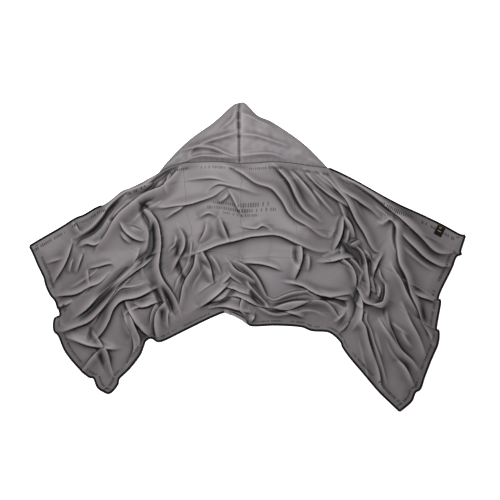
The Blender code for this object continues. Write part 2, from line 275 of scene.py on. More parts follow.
# The folds, each with its crest, height, half width and lean. The pockets are hollows between them.
LEFT_WING = (
    Fold(((-20.1, 27.4), (-24.6, 21.1), (-29.1, 18.8), (-32.1, 17.2), (-35.7, 14.5), (-37.8, 12.4),
          (-40.5, 8.8), (-44.7, 3.1)), 14, 9, 0.4),
    Fold(((-19.5, 28.3), (-23.7, 26.2), (-26.1, 23.8), (-29.1, 20.2), (-32.1, 17.6),
          (-34.2, 15.8)), -10, 6, 0),
    Fold(((-26.7, 24.4), (-32.1, 20.8), (-36.9, 19.3), (-41.7, 15.8), (-43.8, 12.4), (-45.9, 9.4),
          (-48.3, 7.6), (-51.3, 5.8)), 9, 8, -0.2),
    Fold(((-35.7, 19.1), (-40.2, 15.4), (-42.3, 12.2), (-44.1, 9.2), (-46.5, 7), (-49.5, 5.5),
          (-51.3, 3.4)), -7, 6, 0),
    Fold(((-38.1, 11.5), (-36.9, 8.8), (-35.1, 7), (-32.7, 5.5), (-30.3, 5.2)), 10, 7, 0),
    Fold(((-27.6, 17.6), (-30.3, 16.1), (-30.9, 13.7), (-30, 10.7), (-29.4, 6.8), (-30, 3.8)), -10, 6, 0),
    Fold(((-29.7, 15.4), (-28.5, 12.8), (-27.3, 9.8), (-26.4, 5.2), (-27, 0.8), (-27, -3.1), (-25.8, -6.8),
          (-23.7, -9.8), (-21.6, -12.8), (-19.8, -16.1)), 17, 8, -0.3),
    Fold(((-28.5, 15.8), (-24.6, 15.4), (-20.1, 16.1), (-15.6, 16.9), (-10.5, 18.4), (-7.5, 20.2),
          (-5.7, 21.4)), 6, 9, 0.4),
    Fold(((-23.1, 25.9), (-23.7, 23.8), (-24, 20.8), (-23.4, 18.8)), 9, 7, 0),
    Fold(((-33, 1.3), (-34.5, -1.3), (-38.1, -5.2), (-42.6, -9.2), (-47.1, -13.3),
          (-51.6, -17.6)), 18, 8, -0.4),
    Fold(((-29.1, 3.4), (-32.1, -1.3), (-36.3, -5.8), (-41.1, -10.3), (-45.6, -14.2),
          (-50.1, -18.1)), -8, 6, 0),
    Fold(((-27.3, 2.2), (-30.6, -1.3), (-34.2, -4), (-38.1, -7.6), (-41.1, -11.5), (-44.1, -14.8),
          (-48.6, -18.8), (-55.5, -22.1)), 16, 7, 0),
    Fold(((-52.5, 4.3), (-54.3, 0.8), (-56.1, -3.1), (-58.5, -8.2)), 10, 9, -0.4),
    Fold(((-52.2, 10.7), (-50.7, 8.5), (-49.5, 7)), 7, 6, 0),
    Fold(((-50.1, 3.4), (-47.7, 4.6), (-45.3, 4.3), (-43.2, 5.8)), 7, 6, 0),
    Fold(((-48.9, 1.6), (-50.1, -1.3), (-51.3, -4.6)), 8, 6, -0.3),
    Fold(((-47.7, -3.1), (-47.7, -6.1), (-47.1, -8.8)), 7, 6, -0.3),
    Fold(((-47.7, -3.1), (-44.1, -2.5), (-40.5, -1.9), (-39, -3.1)), 8, 6, 0.3),
    Fold(((-57.6, -11.5), (-51.6, -10), (-47.1, -8.2), (-44.1, -7), (-40.5, -4)), 11, 7, 0.4),
    Fold(((-60.9, -1.6), (-57.9, -0.4), (-54.3, 1.1)), 5, 6, 0.3),
    Fold(((-58.5, -15.4), (-55.5, -14.2), (-52.5, -12.8)), 6, 6, 0.3),
)
LEFT_END = (
    Fold(((-26.1, -7.9), (-32.1, -10.7), (-37.5, -12.4), (-40.5, -15.1), (-41.7, -18.8), (-43.2, -21.8),
          (-45.9, -24.8)), 15, 8, -0.3),
    Fold(((-36.3, -13), (-34.2, -16.3), (-32.1, -19.6), (-29.1, -23.6)), 14, 8, 0),
    Fold(((-35.7, -15.8), (-34.2, -20.2), (-32.1, -24.8), (-32.4, -28.3)), 10, 7, 0),
    Fold(((-46.8, -21.8), (-43.6, -26), (-41.6, -30.4), (-40.5, -35.8)), 8.9, 8, -0.3),
    Fold(((-54.1, -23.8), (-48.6, -25.6), (-43.8, -26.4), (-39.1, -27.2)), 8.5, 7, 0.3),
    Fold(((-43, -26.6), (-47, -31), (-50, -34.6)), 7, 7, 0.3),
    Fold(((-34.8, -20.8), (-33.2, -27.2), (-36.6, -33.4)), 8, 8, 0.3),
    Fold(((-23.7, -12.2), (-26.1, -15.8), (-27, -20.2), (-27, -25.3)), 12, 7, 0),
    Fold(((-34.5, -13), (-31.2, -13.9), (-28.2, -13), (-25.8, -12.8)), 8, 6, 0.3),
)
MIDDLE = (
    Fold(((-19.8, 8.5), (-18.9, 5.8), (-18.9, 2.9), (-20.4, 0.4), (-21.6, -1.9), (-22.8, -4.3)), 11, 7, -0.2),
    Fold(((-19.8, -0.1), (-15.9, 1.1), (-11.7, 3.1), (-6.3, 5.2), (-1.2, 6.1), (3.6, 6.8), (9.9, 6.8),
          (16.2, 3.8), (21, 2.2), (24.6, 1.9)), 8, 7, 0.3),
    Fold(((-8.7, 11.8), (-7.8, 9.2), (-6, 6.1), (-4.8, 5.2)), 9, 6, -0.2),
    Fold(((-13.2, 2.9), (-12, -1.3), (-11.1, -5.2), (-10.2, -8.2)), 11, 6, -0.3),
    Fold(((-14.1, 3.1), (-15.3, -2.8), (-18.6, -8.6), (-20.1, -15.8)), 10, 7, 0.3),
    Fold(((-5.4, -7.1), (-9.4, -10.6), (-14.1, -14.6)), 11, 8, -0.4),
    Fold(((-10.2, -13), (-3.1, -11.5), (4, -13.8), (11.9, -14.6), (21.4, -12.3), (26.1, -13.8)), 9, 7, 0.4),
    Fold(((-5.4, -1.1), (-3.6, -3.8), (-0.3, -6.1), (2.7, -8.2)), 12, 6, 0),
    Fold(((-3, -1.1), (-0.3, -2.9), (2.7, -6.8), (4.8, -9.8), (6.3, -12.4)), 12, 6, -0.2),
    Fold(((-1.2, -1.3), (3.6, -1.6), (7.5, -2.5), (10.8, -3.8)), 8, 6, 0.4),
    Fold(((-8.7, -8.2), (-6, -5.8), (-4.8, -4.6)), 6, 6, 0),
    Fold(((-11.1, -14.8), (-6.9, -14.2), (-2.1, -15.4), (1.2, -16.6)), 9, 7, 0.3),
    Fold(((-7.2, -8.5), (-4.5, -9.2), (-2.1, -10), (0.9, -10.9), (3.6, -13)), 8, 6, 0.4),
    Fold(((-7.5, 28.3), (-3.9, 26.8), (-1.2, 25.3), (2.7, 22.9), (7.5, 21.1), (10.2, 18.1), (13.2, 13.3),
          (17.1, 10.3), (21.9, 7), (25.2, 5.5)), 7, 7, 0.3),
    Fold(((-18.9, 22.9), (-13.2, 23.8), (-6.3, 23.2), (-1.2, 22.1)), 4, 9, 0.4),
    Fold(((-14.1, 18.1), (-8.4, 22.1), (-2.1, 21.1), (3.6, 19.6)), 4, 8, 0.4),
    Fold(((-5.4, 20.6), (-3.9, 17.6), (-2.7, 15.1), (-1.2, 12.4)), 4.5, 6, 0),
    Fold(((-5.4, 19.9), (-6.3, 18.1), (-8.7, 16.3)), 5, 6, 0),
    Fold(((-24.6, 11.5), (-22.2, 13.3), (-19.8, 15.1), (-18.9, 16.6)), 5, 7, 0),
    Fold(((-14.4, 11.8), (-11.7, 13.3), (-9.3, 12.4)), 5, 6, 0.3),
    Fold(((-2.1, 9.4), (2.7, 8.5), (5.1, 9.4), (9.9, 7)), 5, 6, 0.3),
    Fold(((-2.1, -5.8), (0.9, -9.2), (5.1, -13), (7.5, -14.5), (13.8, -13.3), (19.5, -13), (23.7, -13.9),
          (26.7, -17.2), (27.6, -19.3)), 13, 7, -0.2),
    Fold(((10.8, -15.4), (14.7, -16.3), (17.1, -18.1)), 8, 6, 0.3),
    Fold(((1.8, -16.9), (0.6, -19.6)), 8, 6, 0),
    Fold(((-0.9, -11.5), (-1.8, -15.1), (-0.6, -18.1)), 8, 6, 0),
    Fold(((-14.1, 4.3), (-12.6, 7.6), (-12.3, 10.7)), 5, 7, 0),
)
RIGHT_WING = (
    Fold(((7.5, 28.1), (10.2, 25.6), (13.2, 22.3), (15, 18.1), (18, 14.2), (21.9, 10.9)), 13, 7, 0.2),
    Fold(((12.6, 26.2), (15.6, 22.9), (18.9, 19.1), (21.9, 15.1)), 8, 7, 0),
    Fold(((17.4, 25.6), (21, 22.1), (24.6, 19.1), (28.5, 16.3), (31.5, 14.2)), 12, 7, 0.2),
    Fold(((21.9, 25.3), (25.5, 22.1), (29.4, 18.1), (32.7, 12.8), (35.7, 7.6), (38.1, 2.9),
          (39.6, 1.6)), 15, 7, 0.3),
    Fold(((24.6, 25.3), (29.1, 19.9), (33.3, 17.2), (37.5, 14.2), (39.9, 11.5)), 10, 7, 0.2),
    Fold(((29.1, 23.8), (33.9, 21.1), (38.7, 18.1), (43.5, 14.2), (48, 10.3), (52.8, 5.5), (57.6, 1.9),
          (61.5, 1.3)), 13, 8, 0.3),
    Fold(((39.9, 10.3), (42.3, 11.8), (44.4, 9.2), (44.7, 4.6), (45.6, -0.4), (47.7, -5.2), (49.5, -10.9),
          (51.9, -16.6), (54.3, -22.9), (55.5, -26.2)), 20, 8, 0.2),
    Fold(((45.6, 7.9), (48.6, 4.6), (52.8, 1.3), (57.6, -1.9), (60.9, -2.5)), 11, 7, 0.3),
    Fold(((32.4, 4.3), (34.8, 1.1), (35.7, -3.8), (36.3, -8.5), (35.7, -12.8)), 13, 6, -0.2),
    Fold(((40.5, 1.1), (38.7, -1.9), (37.5, -6.1), (38.1, -10.9)), 13, 6, -0.2),
    Fold(((41.4, -7.6), (41.4, -12.2), (40.5, -13.9), (37.5, -13.9), (35.1, -12.4)), 12, 7, 0),
    Fold(((43.2, -1.3), (45.3, -6.1), (48, -12.2), (51.6, -18.1)), 8, 6, 0),
    Fold(((48.6, -6.8), (50.4, -10), (54.3, -11.8), (56.7, -13)), 10, 6, 0.3),
    Fold(((29.1, 12.4), (28.5, 8.2), (26.7, 4.6), (25.2, 1.9)), 13, 6, -0.2),
    Fold(((29.4, 12.4), (31.5, 9.2), (32.4, 5.8)), 9, 6, -0.2),
    Fold(((15.9, 3.8), (15.6, 1.1), (14.7, -2.9), (14.1, -7)), 14, 7, -0.4),
    Fold(((22.2, -1.3), (25.5, -0.4), (29.1, 0.8), (32.4, 0.4)), 11, 6, 0.4),
    Fold(((27.6, 0.4), (30.3, -1.9), (31.8, -5.2), (32.7, -9.2)), 13, 7, -0.2),
    Fold(((28.5, 4), (28.2, 1.3)), 10, 7, 0),
    Fold(((12.3, -7.6), (17.1, -8.2), (21.9, -10.7), (27.6, -10.9), (31.5, -10.7)), 11, 6, 0.3),
    Fold(((20.7, -9.2), (26.7, -11.8), (30.9, -12.4)), 7, 6, 0),
    Fold(((34.2, 5.2), (31.8, 4), (30, 3.4)), 9, 6, 0.3),
)
RIGHT_END = (
    Fold(((32.7, -8.2), (34.5, -11.2), (35.4, -13), (39.9, -14.8), (41.7, -13.9)), 11, 7, 0.3),
    Fold(((33.3, -9.8), (33.9, -14.2), (33.3, -18.8), (35.1, -21.8), (36.6, -27.8), (38.4, -32.2),
          (39.9, -38.2), (41.4, -40.4)), 14, 8, -0.3),
    Fold(((41.7, -15.8), (42.3, -20.2), (43.5, -23.2), (45.9, -27.8), (49.5, -31.6),
          (51.9, -34.4)), 11, 9, -0.2),
    Fold(((39.6, -18.1), (41.4, -21.8), (44.4, -26.2), (46.5, -29.8)), 9, 8, -0.2),
    Fold(((44.4, -30.1), (46.5, -32.5), (48.9, -36.1), (50.1, -39.1)), 9, 8, -0.2),
    Fold(((32.1, -12.2), (30.9, -16.3), (29.1, -20.6), (27.3, -22.9)), 13, 7, -0.3),
    Fold(((30.6, -13.7), (29.1, -18.1), (26.7, -21.8)), -7, 5, 0),
    Fold(((45.9, -12.8), (48.3, -18.8), (51.3, -24.8), (53.7, -30.8)), 6, 9, 0),
)
POCKETS = (
    Fold(((-28.2, 10.5), (-28.9, 7.0), (-30.0, 2.8), (-32.8, -1.1)), -16, 10, 0),
    Fold(((-32.9, 0.6), (-36.0, -2.6), (-40.1, -6.6), (-47.3, -13.4)), -12, 7, 0),
    Fold(((-26.0, -8.0), (-24.4, -11.7), (-22.2, -16.5)), -12, 8, 0),
    Fold(((-31.9, -19.8), (-31.4, -22.4), (-29.6, -25.0)), -14, 9, 0),
    Fold(((-47.0, -20.4), (-47.5, -24.7)), -4, 7, 0),
    Fold(((-28.6, 13.9), (-31.9, 16.3)), -10, 7, 0),
    Fold(((-41.0, 10.4), (-38.4, 12.6)), -10, 7, 0),
    Fold(((-20.8, 3.9), (-20.3, -2.5), (-18.0, -9.6)), -8, 8, 0),
    Fold(((-12.9, -0.6), (-11.1, -5.0)), -9, 7, 0),
    Fold(((28.0, 4.2), (31.2, 2.9), (33.6, 1.4), (35.2, -2.4)), -16, 8, 0),
    Fold(((43.4, 12.0), (43.9, 6.1), (45.3, -1.1)), -13, 7, 0),
    Fold(((33.6, -9.3), (32.0, -13.5), (30.4, -18.0), (27.5, -22.6)), -15, 8, 0),
    Fold(((21.6, -12.1), (26.0, -12.6), (30.0, -14.4)), -11, 6, 0),
    Fold(((37.3, 0.4), (37.1, -4.4), (38.7, -10.6)), -11, 6, 0),
    Fold(((14.2, 3.4), (14.0, -0.4), (15.6, -3.6)), -5, 6, 0),
    Fold(((0.6, -9.6), (3.6, -12.6), (6.0, -14.0)), -12, 6, 0),
    Fold(((51.4, -13.0), (53.1, -18.4), (54.0, -24.0)), -7, 8, 0),
    Fold(((19.0, 24.4), (22.6, 21.1), (26.2, 18.1)), -7, 7, 0),
    Fold(((41.0, -16.0), (43.0, -22.4), (46.6, -29.6)), -8, 9, 0),
    Fold(((36.0, -20.6), (37.4, -27.6), (39.2, -34.0)), -9, 8, 0),
    Fold(((-46.4, -24.4), (-44.4, -29.4), (-42.4, -35.0)), -3, 8, 0),
    Fold(((-12.4, -14.2), (-7.2, -12.8), (-3.6, -9.4)), -9, 7, 0),
    Fold(((-29.4, -7.4), (-26.6, -12.0), (-24.9, -19.0)), -8, 8, 0),
)
FOLDS = (*LEFT_WING, *LEFT_END, *MIDDLE, *RIGHT_WING, *RIGHT_END, *POCKETS)

# Where the cut edge has rolled under, with where it starts and ends along X.
ROLLED_EDGES = ((Edge.TOP_LEFT, -0.440, -0.262), (Edge.BOTTOM, -0.075, 0.009))
ROLL_SOFT = 14 * MM  # over which it starts and ends

COMPANY_FROM = 9  # the least height, in millimetres, and length, in centimetres, of a fold that has companions
COMPANY_SEED = 100
COMPANY_POINTS = 7
COMPANY_MISSING = 0.35  # the share of sides that have none


def companions(fold: Fold, number: int) -> list[Fold]:
    """The smaller folds that run beside a tall one.

    Args:
        fold: the tall fold.
        number: its place in the list, which picks their shape.

    Returns:
        The folds, none for a low or a short one.
    """
    line = smooth(np.array(fold.crest), 3)
    if fold.height < COMPANY_FROM or run_of(line)[-1] < COMPANY_FROM:
        return []
    random = np.random.default_rng(COMPANY_SEED + number)
    made = []
    for side in (-1, 1):
        if random.uniform() < COMPANY_MISSING:
            continue
        first, last = random.uniform(0.05, 0.35), random.uniform(0.6, 0.95)
        part = at_shares(line, np.linspace(first, last, COMPANY_POINTS))
        ahead = np.gradient(part, axis=0)
        ahead /= np.linalg.norm(ahead, axis=1)[:, None]
        beside = fold.half_width * MM / CM * random.uniform(2.2, 3.6)
        away = beside * np.linspace(1, random.uniform(0.8, 2.2), COMPANY_POINTS)
        part = part + side * away[:, None] * np.stack([-ahead[:, 1], ahead[:, 0]], axis=1)
        height = fold.height * random.uniform(0.25, 0.5)
        width = fold.half_width * random.uniform(0.6, 0.9)
        made.append(Fold(tuple(map(tuple, part)), height, width, fold.lean * 0.6))
    return made


@dataclass
class BodyCloth:
    """The body cloth: a rectangle of jersey that lies as a wide arch, with its spare cloth in folds."""

    sides: Outline
    cut: tuple[float, float] = (1.45, 0.60)  # width and depth of the flat rectangle
    steps: tuple[int, int] = (464, 208)  # columns and rows
    rest_height: float = 1.4 * MM  # of cloth that lies straight on the paper
    air: float = 7.0 * MM  # how far the loose middle stands off the paper
    air_edge: float = 45 * MM  # the distance from a cut edge over which it comes down
    seam_height: float = 7 * MM  # of the neck seam
    seam_reach: float = 22 * MM
    crest_radius: float = 1.6 * MM  # how round the crests are
    crest_height: float = 2.1  # all the folds' heights are multiplied by this
    flank: float = 1.25  # above 1, the flanks are steepest a little below the crest
    slender: float = 0.9  # how soon the ends of a fold taper away
    merging: float = 3.0  # how far the taller of two folds hides the lower where they meet
    wander: float = 3.0 * MM  # how far a crest strays from a smooth line
    wander_size: float = 190 * MM
    uneven: float = 0.18  # how far its height varies
    reach: float = 75 * MM  # the farthest that a fold lifts the cloth beside it
    crest_width: float = 0.66
    tallest: float = 30 * MM
    skirt: float = 0.30  # the share of a fold's height that falls away slowly
    skirt_width: float = 3.2  # of that part, in half widths
    least_lean: float = 0.3  # of a fold that is given none
    steeper: float = 0.8  # how far a full lean narrows the flank that it leans to
    flatter: float = 3.2  # and widens the other
    flop: float = 1.1  # how far a fold with a full lean falls over, as a share of its height
    farthest_flop: float = 13 * MM
    roll_in: float = 8 * MM  # how far inside the silhouette a rolled edge's thread lies
    roll_height: float = 4.5 * MM  # how far the cloth stands up there
    roll_width: float = 15 * MM
    thread_height: float = 1.5 * MM  # of its thread, under the cloth
    least_thread_height: float = 2.1 * MM  # of any edge thread, so that none sinks into the paper
    # Near the neck seam the cloth also counts as creased, which gives it painted shade.
    seam_crease: float = 6 * MM  # how near the neck seam the cloth counts as creased
    free_from: float = 24 * MM  # how far from an edge or the neck seam a fold can fall over freely

    def __post_init__(self) -> None:
        """Keeps the four sides as smooth lines, and the order of the cloth's vertices."""
        self.neckline = np.vstack([self.sides.line("neck_left")[:-1], self.sides.line("neck_right")])
        left, right = self.sides.line("top_left"), self.sides.line("top_right")
        self.top = np.vstack([left[:-1], self.neckline, right[1:]])
        self.neck_span = (run_of(left)[-1], run_of(left)[-1] + run_of(self.neckline)[-1])
        self.bottom = self.sides.line("bottom")
        self.left = self.sides.line("left")
        self.right = self.sides.line("right")[::-1]

    def plan(self, u: np.ndarray, v: np.ndarray) -> np.ndarray:
        """Where places of the cut cloth lie, in plan.

        Args:
            u: shares of the width, from the left.
            v: shares of the depth, from the lower edge.

        Returns:
            An array of (x, y) in metres.
        """
        lower, upper = at_shares(self.bottom, u), at_shares(self.top, u)
        west, east = at_shares(self.left, v), at_shares(self.right, v)
        u, v = u[:, None], v[:, None]
        corners = (1 - v) * ((1 - u) * self.bottom[0] + u * self.bottom[-1])
        corners = corners + v * ((1 - u) * self.top[0] + u * self.top[-1])
        return (1 - v) * lower + v * upper + (1 - u) * west + u * east - corners

    def edge_distance(self, plan: np.ndarray) -> np.ndarray:
        """How far places lie from the nearest cut edge."""
        left, right = self.sides.line("top_left"), self.sides.line("top_right")
        edges = (left, right, self.right, self.bottom, self.left)
        return np.min([np.abs(nearest(plan, line)[0]) for line in edges], axis=0)

    def folded(self, plan: np.ndarray) -> tuple[np.ndarray, np.ndarray, np.ndarray]:
        """What the folds do to the cloth at places in plan.

        Args:
            plan: an array of (x, y).

        Returns:
            How far the crests stand up, how far the creases are pressed in, and how far the folds have fallen
            over, as (x, y).
        """
        raised = np.zeros(len(plan))
        pressed = np.zeros(len(plan))
        fallen = np.zeros_like(plan)
        drift = np.column_stack([ripple(plan, self.wander_size, seed, 2) for seed in (11, 12)])
        bent = plan + self.wander * drift
        uneven = 1 + self.uneven * ripple(plan, self.wander_size, 13, 2)
        folds = [*FOLDS]
        for number, fold in enumerate(FOLDS):
            folds += companions(fold, number)
        for number, fold in enumerate(folds):
            line = smooth(np.array(fold.crest) * CM, 5)
            inside = (bent > line.min(axis=0) - self.reach) & (bent < line.max(axis=0) + self.reach)
            near = np.flatnonzero(inside.all(axis=1))
            signed, share = nearest(bent[near], line)
            tilt = fold.lean or self.least_lean * (-1) ** number
            to_right, to_left = 1 - self.steeper * tilt, 1 + self.flatter * tilt
            if tilt < 0:
                to_right, to_left = 1 - self.flatter * tilt, 1 + self.steeper * tilt
            lean = np.where(signed < 0, to_right, to_left)
            width = lean * fold.half_width * self.crest_width * MM
            taper = np.sin(math.pi * np.clip(0.04 + 0.92 * share, 0, 1)) ** self.slender
            away = (np.hypot(signed, self.crest_radius) - self.crest_radius) / width
            if fold.height < 0:
                depth = -fold.height * MM * taper * np.exp(-(away ** 1.5))
                pressed[near] = np.maximum(pressed[near], depth)
                continue
            shape = (1 - self.skirt) * np.exp(-(away ** self.flank))
            shape = shape + self.skirt * np.exp(-away / self.skirt_width)
            height = self.crest_height * fold.height * MM * taper * shape * uneven[near]
            raised[near] += np.maximum(height, 0) ** self.merging
            ahead = at_shares(line, np.minimum(share + 0.03, 1))
            ahead = ahead - at_shares(line, np.maximum(share - 0.03, 0))
            ahead /= np.maximum(np.linalg.norm(ahead, axis=1), 1e-9)[:, None]
            rightward = np.stack([ahead[:, 1], -ahead[:, 0]], axis=1)
            fallen[near] += rightward * (self.flop * tilt * height * np.exp(-away))[:, None]
        length = np.maximum(np.linalg.norm(fallen, axis=1), 1e-9)
        fallen *= (self.farthest_flop * np.tanh(length / self.farthest_flop) / length)[:, None]
        raised = raised ** (1 / self.merging)
        return self.tallest * np.tanh(raised / self.tallest), pressed, fallen

    def shape(self, plan: np.ndarray) -> tuple[np.ndarray, np.ndarray]:
        """Where the cloth lies.

        Args:
            plan: an array of (x, y), before the folds fall over.

        Returns:
            An array of (x, y, z), and how far each place is pressed in or counts as creased, which sets its
            painted shade.
        """
        edge = self.edge_distance(plan)
        inside = eased(edge / self.air_edge)
        loose = 0.5 + 0.5 * ripple(plan, 0.26, 3, 2)
        ground = self.rest_height + self.air * inside * np.clip(loose, 0.0, 1.5)
        raised, pressed, fallen = self.folded(plan)
        height = ground + raised - pressed
        away = np.abs(nearest(plan, self.neckline)[0])
        seam = eased(1 - away / self.seam_reach)
        # Near the neck seam the cloth counts as creased, which gives it painted shade.
        creased = np.maximum(pressed, self.seam_height * eased(1 - away / self.seam_crease))
        height = np.maximum(height * (1 - seam) + self.seam_height * seam, self.rest_height)
        for run, low, high in ROLLED_EDGES:
            line = self.sides.line("top_left") if run is Edge.TOP_LEFT else self.bottom
            near = eased(1 - np.abs(nearest(plan, line)[0]) / self.roll_width)
            span = within(plan[:, 0], low, high, ROLL_SOFT)
            height = np.maximum(height, self.rest_height + self.roll_height * near * span)
        free = eased(np.minimum(edge, away) / self.free_from)
        return np.column_stack([plan + fallen * free[:, None], height]), creased

    def build(self) -> bpy.types.Object:
        """The cloth as one open sheet laid in its folds, with its flat cut in its UV map, in metres.

        Returns:
            The piece.
        """
        mesh = bmesh.new()
        bmesh.ops.create_grid(mesh, x_segments=self.steps[0], y_segments=self.steps[1], size=0.5, calc_uvs=True)
        shares = np.array([vertex.co[:2] for vertex in mesh.verts]) + 0.5
        column, row = np.rint(shares * self.steps).astype(int).T
        self.order = np.lexsort((column, row)).reshape(self.steps[1] + 1, self.steps[0] + 1)
        spots, creased = self.shape(self.plan(*shares.T))
        flat = mesh.loops.layers.uv.verify()
        for vertex, spot in zip(mesh.verts, spots):
            vertex.co = spot
        for face in mesh.faces:
            for loop in face.loops:
                share = shares[loop.vert.index]
                loop[flat].uv = (share[0] * self.cut[0], share[1] * self.cut[1])
        cloth = make_piece("body_cloth", mesh)
        paint_fold_light(cloth, self.order, spots, creased)
        return cloth

    def edge_line(self, cloth: bpy.types.Object, edge: Edge) -> tuple[np.ndarray, np.ndarray]:
        """The cloth's own points along one run of its edge.

        Args:
            cloth: the piece.
            edge: which run.

        Returns:
            The points and the cloth's normals there.
        """
        top = self.order[-1]
        run = np.linspace(0, run_of(self.top)[-1], len(top))
        first = int(np.searchsorted(run, self.neck_span[0] - 2 * MM))
        last = int(np.searchsorted(run, self.neck_span[1] + 2 * MM))
        chosen = {
            Edge.TOP_LEFT: top[:first + 1],
            Edge.NECK: top[first:last + 1],
            Edge.TOP_RIGHT: top[last:],
            Edge.RIGHT: self.order[:, -1],
            Edge.BOTTOM: self.order[0],
            Edge.LEFT: self.order[:, 0],
        }[edge]
        places = np.zeros(len(cloth.data.vertices) * 3)
        cloth.data.vertices.foreach_get("co", places)
        facing = np.zeros(len(cloth.data.vertices) * 3)
        cloth.data.vertices.foreach_get("normal", facing)
        return places.reshape(-1, 3)[chosen], facing.reshape(-1, 3)[chosen]

    def tuck(self, edge: Edge, path: np.ndarray, normals: np.ndarray) -> tuple[np.ndarray, np.ndarray]:
        """Moves an edge thread under the cloth where the edge has rolled under.

        Args:
            edge: which run.
            path: points along it.
            normals: the cloth's normals there.

        Returns:
            The moved points and their normals.
        """
        hidden = np.zeros(len(path))
        for rolled, low, high in ROLLED_EDGES:
            if rolled is edge:
                hidden += within(path[:, 0], low, high, ROLL_SOFT)
        inward = np.array([0.0, -1.0]) if edge in (Edge.TOP_LEFT, Edge.TOP_RIGHT) else np.array([0.0, 1.0])
        moved = path.copy()
        moved[:, :2] += inward * (hidden * self.roll_in)[:, None]
        height = path[:, 2] * (1 - hidden) + self.thread_height * hidden
        moved[:, 2] = np.maximum(height, self.least_thread_height)
        up = normals * (1 - hidden)[:, None] + np.array([0.0, 0.0, 1.0]) * hidden[:, None]
        return moved, up


def make_piece(name: str, mesh: bmesh.types.BMesh) -> bpy.types.Object:
    """A smooth-shaded object from a mesh.

    Args:
        name: the piece's name.
        mesh: the shape, which is freed.

    Returns:
        The piece.
    """
    data = bpy.data.meshes.new(name)
    mesh.to_mesh(data)
    mesh.free()
    data.shade_smooth()
    piece = bpy.data.objects.new(name, data)
    bpy.context.scene.collection.objects.link(piece)
    return piece


def softened(values: np.ndarray, cells: int) -> np.ndarray:
    """A grid of values, each replaced by the mean of those within some cells of it.

    Args:
        values: rows and columns.
        cells: how far to look.

    Returns:
        The softened grid.
    """
    kernel = np.hanning(2 * cells + 3)[1:-1]
    kernel /= kernel.sum()
    padded = np.pad(values, cells, mode="edge")
    rows = np.apply_along_axis(np.convolve, 0, padded, kernel, "valid")
    return np.apply_along_axis(np.convolve, 1, rows, kernel, "valid")


# Painted light on the cloth: the colour is darkened as painted shade in hollows, on steep flanks and in creases,
# and lightened as a painted highlight on crests; flat cloth lies between.
FLAT_PAINTED_LIGHT = 0.42  # the mark on cloth that lies flat
PAINTED_LIGHT_SCALES = ((3, 3 * MM), (11, 12 * MM))  # cells round a place that count, and the depth that counts fully
PAINTED_LIGHT_LIMITS = (-0.6, 0.7)  # of what one scale adds
PAINTED_LIGHT_STRENGTH = 1.45
STEEP_FROM = 0.85  # how upright the cloth's normal is where a flank starts to count as steep
FULLY_CREASED = 12 * MM


def paint_fold_light(piece: bpy.types.Object, order: np.ndarray, spots: np.ndarray, creased: np.ndarray) -> None:
    """Stores painted light for the material in a point attribute: 0 for a painted highlight on a crest, 1 for
    painted shade deep between folds or on a steep flank.

    Args:
        piece: the piece.
        order: its vertices by row and column.
        spots: where each vertex lies.
        creased: how far it is pressed in.
    """
    grid = spots[order]
    depth = np.zeros(grid.shape[:2])
    # Cloth below the mean of its neighbours gets painted shade, cloth above it a painted highlight.
    for cells, full in PAINTED_LIGHT_SCALES:
        depth += np.clip((softened(grid[:, :, 2], cells) - grid[:, :, 2]) / full, *PAINTED_LIGHT_LIMITS)
    facing = np.cross(np.gradient(grid, axis=1), np.gradient(grid, axis=0))
    upright = np.abs(facing[:, :, 2]) / np.maximum(np.linalg.norm(facing, axis=2), 1e-12)
    # Steep flanks and creases add painted shade.
    depth += np.clip(STEEP_FROM - upright, 0, 1) + 0.6 * creased[order] / FULLY_CREASED
    depth = softened(np.clip(PAINTED_LIGHT_STRENGTH * depth, -1, 1), 1)
    values = np.zeros(len(spots))
    values[order.ravel()] = (FLAT_PAINTED_LIGHT + depth * np.where(depth > 0, 1 - FLAT_PAINTED_LIGHT, FLAT_PAINTED_LIGHT)).ravel()
    piece.data.attributes.new("painted_light", "FLOAT", "POINT").data.foreach_set("value", values)


def refine(piece: bpy.types.Object) -> None:
    """Divides a piece once by subdivision and keeps the result as its mesh."""
    finer = piece.modifiers.new("finer", "SUBSURF")
    finer.levels = finer.render_levels = 1
    finer.boundary_smooth = "PRESERVE_CORNERS"
    final = piece.evaluated_get(bpy.context.evaluated_depsgraph_get())
    data = bpy.data.meshes.new_from_object(final)
    piece.modifiers.clear()
    old = piece.data
    piece.data = data
    bpy.data.meshes.remove(old)
    data.name = piece.name


def finish_piece(piece: bpy.types.Object, made: bpy.types.Material, slot: str, *nodes: str) -> None:
    """Gives a piece its material and hides the CAD nodes that it stands for.

    Args:
        piece: the piece.
        made: its material.
        slot: not used.
        nodes: the nodes it replaces.
    """
    piece.data.materials.clear()
    piece.data.materials.append(made)
    if nodes:
        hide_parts(*nodes)


# The hood's folds, and where its seam gapes, in metres along Y.
HOOD_FOLDS = (
    Fold(((-20.1, 27.8), (-16.8, 29.6), (-13.2, 30.4), (-8.4, 30.2), (-3.9, 29.6)), 6, 6, 0),
    Fold(((-17.4, 30.4), (-15.6, 32.9), (-10.8, 35.0), (-6.0, 36.4), (-3.0, 37.4)), 7, 7, 0.3),
    Fold(((-20.1, 31.9), (-15.6, 32.9), (-10.8, 32.9), (-6.0, 31.0), (-2.7, 30.2)), 7, 6, 0.2),
    Fold(((-2.1, 36.8), (2.7, 36.5), (7.5, 35.0), (12.3, 33.4)), 4, 6, 0),
    Fold(((-2.1, 30.4), (2.7, 31.0), (7.5, 31.0), (11.4, 29.6)), 5, 6, 0),
    Fold(((-2.1, 43.4), (2.7, 41.5), (7.5, 39.1)), 4, 6, 0),
    Fold(((-3.4, 44.6), (-4.4, 41.4), (-7.6, 38.6)), 4, 6, 0),
)
SEAM_GAPS = ((0.4125, 0.4365), (0.3825, 0.4065), (0.3555, 0.3675))


